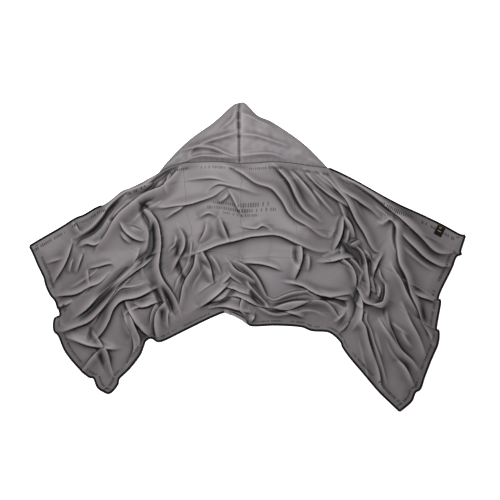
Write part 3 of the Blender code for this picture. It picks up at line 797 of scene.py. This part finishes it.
@dataclass
class Hood:
    """The hood: two panels joined by a centre seam, lying flat, each folded under along its outer edge."""

    sides: Outline
    columns: int = 84  # from the neckline's end to the centre seam
    upper_rows: int = 60
    bend_rows: int = 8
    lower_rows: int = 20
    lower_height: float = 1.4 * MM
    edge_height: float = 7 * MM  # of the upper layer just inside the fold
    loft: float = 7 * MM  # how far the middle of the upper layer stands above that
    seam_height: float = 7 * MM
    first: float = 0.012  # the share of the neckline at which a panel starts
    mouth: float = 0.05  # the share of the lower layer that is missing along the neckline
    seam_dip: float = 4 * MM
    seam_reach: float = 3.6 * MM
    stitch_pull: float = 9 * MM  # from one pucker of the centre seam to the next
    gap_soft: float = 3 * MM  # over which a gap in the seam starts and ends
    gap_depth: float = 4 * MM
    gather: float = 17 * MM  # from one small gather along the neckline to the next
    gather_height: float = 0.3 * MM
    mouth_lift: float = 0.8 * MM  # of the mouth's thread above the lower layer

    def boundary(self, side: Side) -> tuple[np.ndarray, np.ndarray, np.ndarray]:
        """The neckline from its end to the middle, the fold from its end to the peak, and the centre seam."""
        neck = self.sides.line("neck_left") if side is Side.LEFT else self.sides.line("neck_right")[::-1]
        fold = self.sides.line("hood_left") if side is Side.LEFT else self.sides.line("hood_right")
        return neck, fold, self.sides.line("back_seam")

    def plan(self, side: Side, t: np.ndarray, s: np.ndarray) -> np.ndarray:
        """Where places of a panel lie.

        Args:
            side: which panel.
            t: shares of the way from the neckline's end to the centre seam.
            s: shares of the way from the neckline to the fold.

        Returns:
            An array of (x, y) in metres.
        """
        neck, fold, seam = self.boundary(side)
        radius = (self.edge_height - self.lower_height) / 2
        inset = radius * eased(t * 14)
        low, high, centre = at_shares(neck, t), at_shares(fold, t), at_shares(seam, s)
        high = high - self.outward(side, t) * inset[:, None]
        t, s = t[:, None], s[:, None]
        straight = (1 - s) * neck[-1] + s * fold[-1]
        return (1 - s) * low + s * high + t * (centre - straight)

    def upper_height(self, side: Side, plan: np.ndarray, t: np.ndarray, s: np.ndarray) -> np.ndarray:
        """How high the upper layer stands at places of a panel."""
        body = np.sin(math.pi * np.clip(s, 0, 1)) ** 0.8
        height = self.seam_height + (self.edge_height - self.seam_height) * s
        height = height + self.loft * body * (0.35 + 0.65 * t)
        raised = np.zeros(len(plan))
        for fold in HOOD_FOLDS:
            signed, share = nearest(plan, smooth(np.array(fold.crest) * CM, 6))
            width = np.where(signed < 0, 1 - 0.55 * fold.lean, 1 + 0.55 * fold.lean) * fold.half_width * MM
            taper = np.sin(math.pi * np.clip(0.05 + 0.90 * share, 0, 1)) ** 0.7
            raised += fold.height * MM * taper * np.exp(-((np.abs(signed) / width) ** 1.6))
        height = height + raised * eased(s * 12) * eased((1 - s) * 8)
        gathered = np.sin(plan[:, 0] * 2 * math.pi / self.gather) * self.gather_height
        height = height + gathered * eased(s * 60) * np.exp(-s * 14)
        seam = self.sides.line("back_seam")
        away = np.abs(nearest(plan, seam)[0])
        pucker = 0.65 + 0.35 * np.sin(plan[:, 1] * 2 * math.pi / self.stitch_pull)
        dip = self.seam_dip * pucker * np.exp(-((away / self.seam_reach) ** 2))
        for low, high in SEAM_GAPS:
            inside = within(plan[:, 1], low, high, self.gap_soft)
            dip = dip + self.gap_depth * inside * np.exp(-((away / self.gap_soft) ** 2))
        fine = ripple(plan, 0.05, 22, 2) * 0.5 * MM * body
        return np.maximum(height - dip * eased(s * 20) + fine, self.lower_height + 2.5 * MM)

    def build(self, side: Side) -> bpy.types.Object:
        """One panel: upper layer, bend and lower layer in one open sheet.

        Args:
            side: which panel.

        Returns:
            The piece.
        """
        rows = self.upper_rows + self.bend_rows + self.lower_rows
        mesh = bmesh.new()
        bmesh.ops.create_grid(mesh, x_segments=self.columns, y_segments=rows, size=0.5, calc_uvs=True)
        places = np.array([vertex.co[:2] for vertex in mesh.verts]) + 0.5
        t = self.first + (1 - self.first) * places[:, 0]
        row = np.rint(places[:, 1] * rows)
        start, end = self.upper_rows, self.upper_rows + self.bend_rows
        under = self.mouth + (1 - self.mouth) * (1 - (row - end) / self.lower_rows)
        s = np.where(row <= start, row / start, np.where(row >= end, under, 1.0))
        plan = self.plan(side, t, s)
        height = self.upper_height(side, plan, t, s)
        half = (self.upper_height(side, plan, t, np.ones_like(s)) - self.lower_height) / 2
        turn = math.pi * np.clip((row - start) / self.bend_rows, 0, 1)
        radius = (self.edge_height - self.lower_height) / 2
        reach = radius * np.sin(turn) * eased(t * 14)
        plan = plan + self.outward(side, t) * reach[:, None]
        height = np.where(row > start, self.lower_height + half * (1 + np.cos(turn)), height)
        flat = mesh.loops.layers.uv.verify()
        size = self.cut()
        for vertex, spot, high in zip(mesh.verts, plan, height):
            vertex.co = (spot[0], spot[1], high)
        for face in mesh.faces:
            for loop in face.loops:
                share = places[loop.vert.index]
                loop[flat].uv = (share[0] * size[0], share[1] * size[1])
        if side is Side.RIGHT:
            bmesh.ops.reverse_faces(mesh, faces=mesh.faces)
        panel = make_piece(f"hood_{side.name.lower()}_cloth", mesh)
        order = np.lexsort((np.rint(places[:, 0] * self.columns), row)).reshape(rows + 1, self.columns + 1)
        spots = np.column_stack([plan, np.where(row < start, height, self.edge_height)])
        away = np.abs(nearest(plan, self.sides.line("back_seam"))[0])
        gaps = np.zeros(len(plan))
        for low, high in SEAM_GAPS:
            gaps += within(plan[:, 1], low, high, self.gap_soft)
        # The centre seam and its gaps count as creased, which gives them painted shade.
        creased = 3 * MM * eased(1 - away / (5 * MM)) + 14 * MM * gaps * eased(1 - away / (6 * MM))
        paint_fold_light(panel, order, spots, creased * (row < start))
        return panel

    def outward(self, side: Side, t: np.ndarray) -> np.ndarray:
        """The direction out of the silhouette at shares of its length, straight up the sheet at the peak."""
        fold = self.boundary(side)[1]
        ahead = at_shares(fold, np.minimum(t + 0.02, 1)) - at_shares(fold, np.maximum(t - 0.02, 0))
        ahead = ahead / np.linalg.norm(ahead, axis=1)[:, None]
        outward = np.stack([-ahead[:, 1], ahead[:, 0]], axis=1) * -side.value
        peak = eased((t - 0.93) / 0.07)[:, None]
        outward = outward * (1 - peak) + np.array([0.0, 1.0]) * peak
        return outward / np.linalg.norm(outward, axis=1)[:, None]

    def cut(self) -> tuple[float, float]:
        """A panel's flat width along the neckline, and its flat length round the fold at the centre seam."""
        neck, _, seam = self.boundary(Side.LEFT)
        return float(run_of(neck)[-1]), float(run_of(seam)[-1] * 2)

    def area(self, side: Side) -> float:
        """A panel's flat area: twice the triangle between the neckline, the seam and the fold."""
        neck, fold, seam = self.boundary(side)
        ring = np.vstack([neck, seam, fold[::-1]])
        x, y = ring.T
        return float(abs(np.dot(x, np.roll(y, 1)) - np.dot(y, np.roll(x, 1))))

    def seam_line(self) -> np.ndarray:
        """The centre seam: up the back in its dip, over the peak and back under the crown."""
        s = np.linspace(0.0, 1.0, 90)
        t = np.ones_like(s)
        plan = self.plan(Side.LEFT, t, s)
        upper = self.upper_height(Side.LEFT, plan, t, s)
        radius = (self.edge_height - self.lower_height) / 2
        turn = np.linspace(0, math.pi, 9)[1:-1]
        peak = plan[-1]
        middle = (upper[-1] + self.lower_height) / 2
        half = (upper[-1] - self.lower_height) / 2
        bend = np.column_stack([
            np.full_like(turn, peak[0]), peak[1] + radius * np.sin(turn), middle + half * np.cos(turn),
        ])
        below = np.column_stack([plan[::-1], np.full(len(s), self.lower_height)])[:-6]
        return np.vstack([np.column_stack([plan, upper]), bend, below])

    def mouth_line(self, side: Side) -> np.ndarray:
        """The open edge of a panel's lower layer."""
        t = np.linspace(self.first + 0.02, 0.99, 60)
        plan = self.plan(side, t, np.full_like(t, self.mouth))
        return np.column_stack([plan, np.full(len(t), self.lower_height + self.mouth_lift)])


@dataclass(frozen=True)
class ThreadRun:
    """A run of thread laid along a line, in close wraps or stitches."""

    width: float
    thickness: float
    stitch: float  # from one wrap to the next
    bead: float = 0.22  # how far a wrap stands proud, as a share of the width
    sides: int = 8
    tip: float = 0.55  # the ends' size, as a share of the width

    def build(self, name: str, path: np.ndarray, normals: np.ndarray | None = None) -> bpy.types.Object:
        """The run along a path.

        Args:
            name: the piece's name.
            path: points along its middle.
            normals: the direction away from the cloth at each point, or None for straight up.

        Returns:
            The piece.
        """
        if normals is None:
            normals = np.tile([0.0, 0.0, 1.0], (len(path), 1))
        run = run_of(path)
        count = max(6, int(run[-1] / self.stitch) * 2)
        shares = np.linspace(0, 1, count + 1)
        centre = at_shares(path, shares)
        up = np.stack([np.interp(shares * run[-1], run, normals[:, axis]) for axis in range(3)], axis=1)
        ahead = np.gradient(centre, axis=0)
        ahead /= np.maximum(np.linalg.norm(ahead, axis=1), 1e-9)[:, None]
        across = np.cross(ahead, up)
        across /= np.maximum(np.linalg.norm(across, axis=1), 1e-9)[:, None]
        up = np.cross(across, ahead)
        swell = 1 + self.bead * (np.arange(count + 1) % 2)
        swell[[0, -1]] = self.tip
        mesh = bmesh.new()
        bmesh.ops.create_grid(mesh, x_segments=count, y_segments=self.sides, size=0.5, calc_uvs=True)
        flat = mesh.loops.layers.uv.verify()
        places = np.array([vertex.co[:2] for vertex in mesh.verts]) + 0.5
        for face in mesh.faces:
            for loop in face.loops:
                share = places[loop.vert.index]
                loop[flat].uv = (share[0] * run[-1], share[1] * self.width * math.pi)
        ring = np.rint(places[:, 0] * count).astype(int)
        turn = 2 * math.pi * places[:, 1]
        reach = (np.cos(turn) * self.width / 2 * swell[ring])[:, None]
        lift = (np.sin(turn) * self.thickness / 2 * swell[ring])[:, None]
        for vertex, spot in zip(mesh.verts, centre[ring] + across[ring] * reach + up[ring] * lift):
            vertex.co = spot
        bmesh.ops.remove_doubles(mesh, verts=mesh.verts, dist=1e-6)
        bmesh.ops.holes_fill(mesh, edges=[edge for edge in mesh.edges if edge.is_boundary], sides=0)
        bmesh.ops.recalc_face_normals(mesh, faces=mesh.faces)
        return make_piece(name, mesh)


OVERLOCK = ThreadRun(width=6.4 * MM, thickness=3.6 * MM, stitch=3.0 * MM, bead=0.1)
SEAM = ThreadRun(width=1.8 * MM, thickness=1.4 * MM, stitch=2.6 * MM, bead=0.35, sides=6)
LABEL_STITCH = ThreadRun(width=0.9 * MM, thickness=0.7 * MM, stitch=2.2 * MM, bead=-0.45, sides=6)


@dataclass
class Label:
    """The woven label: a short tape folded over and caught in the edge, with plain woven bars."""

    surface: BVHTree
    place: tuple[float, float] = (0.5755, 0.0800)  # its middle
    turn: float = math.radians(-28.0)
    width: float = 24 * MM
    length: float = 30 * MM
    thickness: float = 0.7 * MM
    lift: float = 1.1 * MM  # above the cloth
    thread_lift: float = 2.6 * MM  # more where it passes over the edge thread
    across_steps: int = 10
    along_steps: int = 16
    tack_inset: float = 3.0 * MM

    def spot(self, across: float, down: float) -> tuple[float, float]:
        """A place on the label, from its middle: across its width, and down its length away from the edge."""
        c, s = math.cos(self.turn), math.sin(self.turn)
        return self.place[0] + c * across + s * down, self.place[1] + s * across - c * down

    def height(self, down: float) -> float:
        """How high the label's underside lies: level across its width, and above the cloth everywhere."""
        highest = 0.0
        for step in range(-3, 4):
            for near in (-3 * MM, 0.0, 3 * MM):
                x, y = self.spot(step / 6 * self.width, down + near)
                hit = self.surface.ray_cast(Vector((x, y, 1.0)), Vector((0, 0, -1)))[0]
                highest = max(highest, hit.z if hit else 0.0)
        over_thread = float(eased(np.array((-down - self.length / 2 + 9 * MM) / (6 * MM))))
        return highest + self.lift + self.thread_lift * over_thread

    def profile(self) -> tuple[np.ndarray, np.ndarray]:
        """Places down the label and a smoothed height at each."""
        down = np.linspace(-self.length / 2, self.length / 2, self.along_steps + 1)
        height = np.array([self.height(place) for place in down])
        padded = np.pad(height, 2, mode="edge")
        return down, np.maximum(height, np.convolve(padded, np.ones(5) / 5, "valid"))

    def build(self) -> bpy.types.Object:
        """The tape.

        Returns:
            The piece.
        """
        downs, heights = self.profile()
        mesh = bmesh.new()
        bmesh.ops.create_grid(
            mesh, x_segments=self.across_steps, y_segments=self.along_steps, size=0.5, calc_uvs=True,
        )
        flat = mesh.loops.layers.uv.verify()
        for face in mesh.faces:
            for loop in face.loops:
                across, along = loop.vert.co[:2]
                loop[flat].uv = (across * self.width, along * self.length)
        for vertex in mesh.verts:
            across, down = vertex.co.x * self.width, -vertex.co.y * self.length
            curl = 0.7 * MM * (2 * vertex.co.x) ** 2  # its long edges stand up a little
            vertex.co = (*self.spot(across, down), float(np.interp(down, downs, heights)) + curl)
        bmesh.ops.solidify(mesh, geom=mesh.faces, thickness=-self.thickness)
        bmesh.ops.recalc_face_normals(mesh, faces=mesh.faces)
        return make_piece("label_tape", mesh)

    def stitches(self, name: str, upper: bool) -> bpy.types.Object:
        """One of the two rows of stitches that hold the label.

        Args:
            name: the piece's name.
            upper: whether it is the row at the sheet's edge.

        Returns:
            The piece.
        """
        downs, heights = self.profile()
        down = (self.length / 2 - self.tack_inset) * (-1 if upper else 1)
        height = float(np.interp(down, downs, heights)) + self.thickness + 0.3 * MM
        reach = self.width / 2 - 2.5 * MM
        row = [(*self.spot(across, down), height + 0.7 * MM * (2 * across / self.width) ** 2)
               for across in np.linspace(-reach, reach, 12)]
        return LABEL_STITCH.build(name, np.array(row))


def linear(code: str) -> tuple[float, float, float, float]:
    """A colour for a shader from an sRGB hex code such as "8c8789"."""
    parts = (int(code[place:place + 2], 16) / 255 for place in (0, 2, 4))
    return (*(part / 12.92 if part <= 0.04045 else ((part + 0.055) / 1.055) ** 2.4 for part in parts), 1.0)


def add(tree: bpy.types.NodeTree, kind: str, links: dict | None = None, **settings: object) -> bpy.types.Node:
    """Adds a node.

    Args:
        tree: the material's nodes.
        kind: the node's type, without its ShaderNode prefix.
        links: input name or number to the socket that feeds it, or to a plain value.
        settings: the node's own properties.

    Returns:
        The node.
    """
    node = tree.nodes.new("ShaderNode" + kind)
    for name, value in settings.items():
        setattr(node, name, value)
    for name, value in (links or {}).items():
        if isinstance(value, bpy.types.NodeSocket):
            tree.links.new(value, node.inputs[name])
        else:
            node.inputs[name].default_value = value
    return node


def work(tree: bpy.types.NodeTree, operation: str, *values: object) -> bpy.types.NodeSocket:
    """The result of a sum on sockets or numbers."""
    return add(tree, "Math", dict(enumerate(values)), operation=operation).outputs[0]


def blended(tree: bpy.types.NodeTree, share: object, first: object, second: object, way: str = "MIX") -> object:
    """A colour made from two."""
    return add(tree, "Mix", {0: share, 6: first, 7: second}, data_type="RGBA", blend_type=way).outputs[2]


def fresh(name: str, **plain: object) -> tuple[bpy.types.Material, bpy.types.NodeTree, bpy.types.Node]:
    """A new material.

    Args:
        name: its name.
        plain: the shader's own values, by input name with _ for each space.

    Returns:
        The material, its nodes and its Principled shader.
    """
    made = bpy.data.materials.new(name)
    made.use_nodes = True
    shader = made.node_tree.nodes["Principled BSDF"]
    for word, value in plain.items():
        shader.inputs[word.replace("_", " ")].default_value = value
    return made, made.node_tree, shader


def raise_surface(tree: bpy.types.NodeTree, shader: bpy.types.Node, height: object, strength: float) -> None:
    """Gives a shader relief from a height in metres."""
    bump = add(tree, "Bump", {"Height": height, "Distance": 1.0, "Strength": strength})
    tree.links.new(bump.outputs[0], shader.inputs["Normal"])


def wave_scale(spacing: float) -> float:
    """The scale at which the Wave texture repeats once in a spacing."""
    return 2 * math.pi / (20 * spacing)


@dataclass(frozen=True)
class PrintRow:
    """One row of printed marks in the middle of the cloth."""

    height: float  # above the lower edge of the cut cloth
    middle: float  # from its left edge
    length: float
    tall: float
    pitch: float


@dataclass(frozen=True)
class Print:
    """Rows of small upright printed marks: one that follows the hem, and a block in the middle of the cloth."""

    hem_inset: float = 20 * MM
    hem_tall: float = 10.0 * MM
    hem_pitch: float = 6.0 * MM
    repeat: float = 145 * MM
    filled: float = 0.80  # of each repeat
    strength: float = 0.90
    rows: tuple[PrintRow, ...] = (
        PrintRow(0.452, 0.764, 0.100, 17 * MM, 8.0 * MM),
        PrintRow(0.450, 0.664, 0.088, 11 * MM, 7.2 * MM),
        PrintRow(0.432, 0.716, 0.228, 13 * MM, 7.8 * MM),
        PrintRow(0.415, 0.712, 0.118, 10 * MM, 7.0 * MM),
    )

    def marks(
        self, tree: bpy.types.NodeTree, along: object, across: object, tall: float, pitch: float,
    ) -> object:
        """Upright marks of uneven size along a line.

        Args:
            tree: the material's nodes.
            along: the distance along the line.
            across: the distance from the line's middle.
            tall: the marks' greatest height.
            pitch: from one mark to the next.

        Returns:
            A socket that is 1 on the marks.
        """
        cell = work(tree, "DIVIDE", along, pitch)
        noise = add(tree, "TexWhiteNoise", {"W": work(tree, "FLOOR", cell)}, noise_dimensions="1D")
        noise = noise.outputs["Value"]
        wide = work(tree, "MULTIPLY_ADD", noise, 0.34, 0.44)
        high = work(tree, "MULTIPLY_ADD", noise, tall * 0.12, tall * 0.38)
        solid = work(tree, "LESS_THAN", work(tree, "FRACT", cell), wide)
        within = work(tree, "LESS_THAN", work(tree, "ABSOLUTE", across), high)
        worded = work(tree, "GREATER_THAN", noise, 0.12)
        return work(tree, "MULTIPLY", work(tree, "MULTIPLY", solid, within), worded)

    def mask(self, tree: bpy.types.NodeTree, u: object, v: object, cut: tuple[float, float]) -> object:
        """A socket that is above 0 where the cloth is printed.

        Args:
            tree: the material's nodes.
            u: the distance from the cut cloth's left edge.
            v: the distance from its lower edge.
            cut: its width and depth.

        Returns:
            The socket.
        """
        printed: object = 0.0
        right, upper = work(tree, "SUBTRACT", cut[0], u), work(tree, "SUBTRACT", cut[1], v)
        for along, inset in ((u, v), (u, upper), (v, u), (v, right)):
            across = work(tree, "SUBTRACT", inset, self.hem_inset)
            row = self.marks(tree, along, across, self.hem_tall, self.hem_pitch)
            place = work(tree, "FRACT", work(tree, "DIVIDE", along, self.repeat))
            row = work(tree, "MULTIPLY", row, work(tree, "LESS_THAN", place, self.filled))
            printed = work(tree, "MAXIMUM", printed, row)
        for line in self.rows:
            row = self.marks(tree, u, work(tree, "SUBTRACT", v, line.height), line.tall, line.pitch)
            away = work(tree, "ABSOLUTE", work(tree, "SUBTRACT", u, line.middle))
            row = work(tree, "MULTIPLY", row, work(tree, "LESS_THAN", away, line.length / 2))
            printed = work(tree, "MAXIMUM", printed, row)
        return work(tree, "MULTIPLY", printed, self.strength)


@dataclass(frozen=True)
class Jersey:
    """Thin warp-knitted polyester: smooth and matt face on, with a soft sheen along its folds."""

    name: str
    base: str = "464244"
    pale: str = "4d494b"
    ink: str = "1b1a1c"
    roughness: float = 0.50
    rib: float = 2.0 * MM  # drawn twice as wide as the real wales so that they show close to
    rib_depth: float = 0.05 * MM
    melange: float = 1.5 * MM
    cloud: float = 70 * MM
    sheen: float = 0.06
    gloss: float = 0.22
    # The colour itself carries painted light: painted shade deep between folds, in place of light that deeper
    # folds would keep out, and a painted highlight on crests.
    painted_crest_highlight: float = 1.85  # the colour's factor on a crest
    painted_hollow_shade: float = 0.03  # and deep between folds
    # Creases pressed in by folding for storage, from the left and from the lower edge of the cut cloth.
    creases: tuple[float, ...] = (0.533, 0.711, 0.888)
    cross_creases: tuple[float, ...] = (0.262,)
    crease_width: float = 4.0 * MM
    crease_depth: float = 0.5 * MM

    def build(self, printed: Print | None, cut: tuple[float, float]) -> bpy.types.Material:
        """The material.

        Args:
            printed: what is printed on the cloth, or None.
            cut: the cloth's flat size.

        Returns:
            The material.
        """
        made, tree, shader = fresh(
            self.name, Roughness=self.roughness, Specular_IOR_Level=self.gloss, IOR=1.48,
            Sheen_Weight=self.sheen, Sheen_Roughness=0.45, Sheen_Tint=linear("c8c8d8"),
        )
        spot = add(tree, "UVMap").outputs["UV"]
        axes = add(tree, "SeparateXYZ", {0: spot})
        u, v = axes.outputs["X"], axes.outputs["Y"]
        cloud = add(tree, "TexNoise", {"Vector": spot, "Scale": 1 / self.cloud, "Detail": 3.0}).outputs["Fac"]
        colour = blended(tree, cloud, linear(self.base), linear(self.pale))
        fleck = add(tree, "TexNoise", {"Vector": spot, "Scale": 1 / self.melange, "Detail": 2.0}).outputs["Fac"]
        fleck = add(tree, "MapRange", {0: fleck, 1: 0.35, 2: 0.65, 3: 0.94, 4: 1.06}).outputs[0]
        colour = blended(tree, 1.0, colour, fleck, "MULTIPLY")
        # Painted shade and painted highlight from the folds, read from the cloth's attribute.
        painted_light = add(tree, "Attribute", attribute_name="painted_light").outputs["Fac"]
        painted_light = add(tree, "MapRange", {0: painted_light, 1: 0.0, 2: 1.0, 3: self.painted_crest_highlight, 4: self.painted_hollow_shade})
        painted_light = painted_light.outputs[0]
        colour = blended(tree, 1.0, colour, painted_light, "MULTIPLY")
        ribs = add(tree, "TexWave", {"Vector": spot, "Scale": wave_scale(self.rib), "Distortion": 1.2})
        ribs = ribs.outputs["Fac"]
        height = work(tree, "MULTIPLY", ribs, self.rib_depth)
        if printed:
            colour = blended(tree, printed.mask(tree, u, v, cut), colour, linear(self.ink))
            lines = [(place, u) for place in self.creases] + [(place, v) for place in self.cross_creases]
            for place, axis in lines:
                away = work(tree, "ABSOLUTE", work(tree, "SUBTRACT", axis, place))
                height = work(tree, "ADD", height, add(
                    tree, "MapRange", {0: away, 1: 0.0, 2: self.crease_width / 2, 3: self.crease_depth, 4: 0.0},
                ).outputs[0])
        tree.links.new(colour, shader.inputs["Base Color"])
        raise_surface(tree, shader, height, 0.8)
        return made


@dataclass(frozen=True)
class SpunThread:
    """Matt spun polyester thread, wound so closely that only its slanting wraps show."""

    name: str
    base: str
    wrap: float = 3.0 * MM
    relief: float = 0.3 * MM

    def build(self) -> bpy.types.Material:
        """The material."""
        made, tree, shader = fresh(self.name, Roughness=0.8, Specular_IOR_Level=0.08)
        spot = add(tree, "UVMap").outputs["UV"]
        slant = add(tree, "Mapping", {"Vector": spot, "Rotation": (0.0, 0.0, 0.6)}).outputs[0]
        wraps = add(tree, "TexWave", {"Vector": slant, "Scale": wave_scale(self.wrap), "Distortion": 0.8})
        shade = add(tree, "MapRange", {0: wraps.outputs["Fac"], 3: 0.55, 4: 1.25}).outputs[0]
        tree.links.new(blended(tree, 1.0, linear(self.base), shade, "MULTIPLY"), shader.inputs["Base Color"])
        raise_surface(tree, shader, work(tree, "MULTIPLY", wraps.outputs["Fac"], self.relief), 0.7)
        return made


@dataclass(frozen=True)
class LabelWeave:
    """Dense satin-woven label tape: smoother than the cloth, with plain bars in gold and grey weft."""

    name: str = "satin_woven_label_tape"
    base: str = "070606"
    gold: str = "8a6f3c"
    grey: str = "7a7874"
    yarn: float = 0.8 * MM  # drawn coarser than the real 0.2 mm so that it shows
    # Each bar: its middle across and along the tape, its width, its height, and whether it is gold.
    bars: tuple = (
        (-3.6 * MM, 10.8 * MM, 2.6 * MM, 2.4 * MM, True),
        (1.0 * MM, 10.8 * MM, 2.6 * MM, 2.4 * MM, True),
        (-1.3 * MM, 7.6 * MM, 6.5 * MM, 1.0 * MM, True),
        (-2.8 * MM, -0.6 * MM, 2.6 * MM, 2.6 * MM, False),
        (1.4 * MM, -0.6 * MM, 2.6 * MM, 2.6 * MM, False),
        (5.4 * MM, -0.6 * MM, 1.8 * MM, 2.6 * MM, False),
    )

    def build(self) -> bpy.types.Material:
        """The material."""
        made, tree, shader = fresh(self.name, Roughness=0.6, Specular_IOR_Level=0.06)
        spot = add(tree, "UVMap").outputs["UV"]
        axes = add(tree, "SeparateXYZ", {0: spot})
        weave = add(tree, "TexChecker", {"Vector": spot, "Scale": 1 / self.yarn, "Color1": (1, 1, 1, 1),
                                         "Color2": (0.55, 0.55, 0.55, 1)}).outputs["Color"]
        colour: object = linear(self.base)
        for across, along, wide, tall, golden in self.bars:
            beside = work(tree, "ABSOLUTE", work(tree, "SUBTRACT", axes.outputs["X"], across))
            above = work(tree, "ABSOLUTE", work(tree, "SUBTRACT", axes.outputs["Y"], along))
            inside = work(tree, "LESS_THAN", beside, wide / 2)
            inside = work(tree, "MULTIPLY", inside, work(tree, "LESS_THAN", above, tall / 2))
            colour = blended(tree, inside, colour, linear(self.gold if golden else self.grey))
        tree.links.new(blended(tree, 1.0, colour, weave, "MULTIPLY"), shader.inputs["Base Color"])
        return made


@dataclass(frozen=True)
class Paper:
    """Seamless white background paper: matt, with a hardly visible tooth."""

    name: str = "matt_white_background_paper"
    base: str = "f7f7f7"
    shade: str = "f3f3f2"
    tooth: float = 4 * MM

    def build(self) -> bpy.types.Material:
        """The material."""
        made, tree, shader = fresh(self.name, Roughness=0.95, Specular_IOR_Level=0.1)
        spot = add(tree, "TexCoord").outputs["Object"]
        grain = add(tree, "TexNoise", {"Vector": spot, "Scale": 1 / self.tooth}).outputs["Fac"]
        tree.links.new(blended(tree, grain, linear(self.base), linear(self.shade)), shader.inputs["Base Color"])
        return made


@dataclass(frozen=True)
class Lamp:
    """A round soft box."""

    place: tuple[float, float, float]
    aim: tuple[float, float, float]
    size: float
    power: float

    def build(self, name: str) -> None:
        """Hangs the lamp.

        Args:
            name: its name.
        """
        data = bpy.data.lights.new(name, "AREA")
        data.shape = "DISK"
        data.size = self.size
        data.energy = self.power
        lamp = bpy.data.objects.new(name, data)
        lamp.location = self.place
        lamp.rotation_euler = (Vector(self.aim) - Vector(self.place)).to_track_quat("-Z", "Y").to_euler()
        bpy.context.scene.collection.objects.link(lamp)


@dataclass(frozen=True)
class Studio:
    """White paper, soft boxes close round a camera straight above, the strongest of them towards the hood."""

    lamps: tuple[Lamp, ...] = (
        Lamp((-0.16, 0.68, 1.75), (-0.05, 0.2, 0.0), 0.36, 71),
        Lamp((-1.00, 0.30, 1.9), (0.0, 0.1, 0.0), 0.4, 11),
        Lamp((1.00, 0.30, 1.9), (0.0, 0.1, 0.0), 0.4, 3),
    )
    air_light: float = 0.35
    camera: tuple[float, float, float] = (0.009, 0.0225, 3.0)
    lens: float = 72
    sensor: float = 36
    floor_size: float = 6.0

    def build(self) -> bpy.types.Object:
        """Sets up the studio.

        Returns:
            The paper.
        """
        sheet = bmesh.new()
        bmesh.ops.create_grid(sheet, x_segments=1, y_segments=1, size=self.floor_size)
        paper = make_piece("background_paper", sheet)
        paper.data.materials.append(Paper().build())
        for number, lamp in enumerate(self.lamps):
            lamp.build(f"soft_box_{number + 1}")
        data = bpy.data.cameras.new("camera")
        data.lens, data.sensor_width = self.lens, self.sensor
        camera = bpy.data.objects.new("camera", data)
        camera.location = self.camera
        bpy.context.scene.collection.objects.link(camera)
        bpy.context.scene.camera = camera
        world = bpy.data.worlds.new("studio_air")
        world.use_nodes = True
        world.node_tree.nodes["Background"].inputs["Color"].default_value = (1, 1, 1, 1)
        world.node_tree.nodes["Background"].inputs["Strength"].default_value = self.air_light
        bpy.context.scene.world = world
        bpy.context.scene.view_settings.view_transform = "Standard"
        return paper


def fold_with_hood(piece: bpy.types.Object) -> None:
    """Bakes a piece's placement into its mesh."""
    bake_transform(piece)


def build_body(body: BodyCloth, black: bpy.types.Material, grey: bpy.types.Material) -> bpy.types.Object:
    """The body cloth with its edge threads and the neck seam.

    Args:
        body: the cloth's sizes.
        black: the edge thread.
        grey: the seam thread.

    Returns:
        The cloth.
    """
    cloth = body.build()
    for edge in Edge:
        path, normals = body.edge_line(cloth, edge)
        if edge is Edge.NECK:
            thread = SEAM.build("neck_seam_thread", path + [0.0, 0.0, 0.3 * MM])
            finish_piece(thread, grey, "seam_thread", edge.value)
            fold_with_hood(thread)
        else:
            thread = OVERLOCK.build(edge.value + "_thread", *body.tuck(edge, path, normals))
            finish_piece(thread, black, "edge_thread", edge.value)
            if edge in (Edge.TOP_LEFT, Edge.TOP_RIGHT):
                fold_with_hood(thread)
            else:
                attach(thread, "towel")
        log.info("%s: %d faces", thread.name, len(thread.data.polygons))
    finish_piece(cloth, Jersey("printed_warp_knit_jersey").build(Print(), body.cut), "knit_cloth", "body_panel")
    fold_with_hood(cloth)
    log.info("%s: %d faces", cloth.name, len(cloth.data.polygons))
    return cloth


def build_hood(hood: Hood, black: bpy.types.Material, grey: bpy.types.Material) -> None:
    """The hood's two panels with their mouth edges and the centre seam.

    Args:
        hood: the hood's sizes.
        black: the edge thread.
        grey: the seam thread.
    """
    seam = SEAM.build("hood_seam_thread", hood.seam_line())
    finish_piece(seam, grey, "seam_thread", "hood_centre_seam")
    fold_with_hood(seam)
    plain = Jersey("plain_warp_knit_jersey").build(None, hood.cut())
    for side in Side:
        word = side.name.lower()
        mouth = OVERLOCK.build(f"hood_{word}_mouth_thread", hood.mouth_line(side))
        finish_piece(mouth, black, "edge_thread", f"hood_{word}_mouth_overlock")
        fold_with_hood(mouth)
        panel = hood.build(side)
        refine(panel)
        finish_piece(panel, plain, "knit_cloth", f"hood_{word}_panel")
        fold_with_hood(panel)
        hood.cut()
        hood.area(side)
        log.info("%s: %d faces", panel.name, len(panel.data.polygons))


def build_label(cloth: bpy.types.Object) -> None:
    """The label and its stitches, lying on the body cloth.

    Args:
        cloth: the finished body cloth.
    """
    surface = BVHTree.FromObject(cloth, bpy.context.evaluated_depsgraph_get())
    label = Label(surface)
    tape = label.build()
    finish_piece(tape, LabelWeave().build(), "label", "woven_label")
    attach(tape, "towel")
    tacking = SpunThread("black_rayon_label_thread", "1c1917", wrap=2.2 * MM).build()
    for name, upper in (("label_upper_stitches", True), ("label_lower_stitches", False)):
        row = label.stitches(name + "_thread", upper)
        finish_piece(row, tacking, "label_thread", name)
        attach(row, "towel")
    log.info("label: %d faces", len(tape.data.polygons))


def main() -> None:
    """Builds the studio and the towel."""
    logging.basicConfig(level=logging.INFO, format="%(name)s: %(message)s")
    Studio().build()
    black = SpunThread("black_spun_polyester_overlock", "060607").build()
    grey = SpunThread("grey_spun_polyester_seam", "2e2c30").build()
    sides = Outline()
    cloth = build_body(BodyCloth(sides), black, grey)
    build_hood(Hood(sides), black, grey)
    build_label(cloth)


if __name__ == "__main__":
    main()
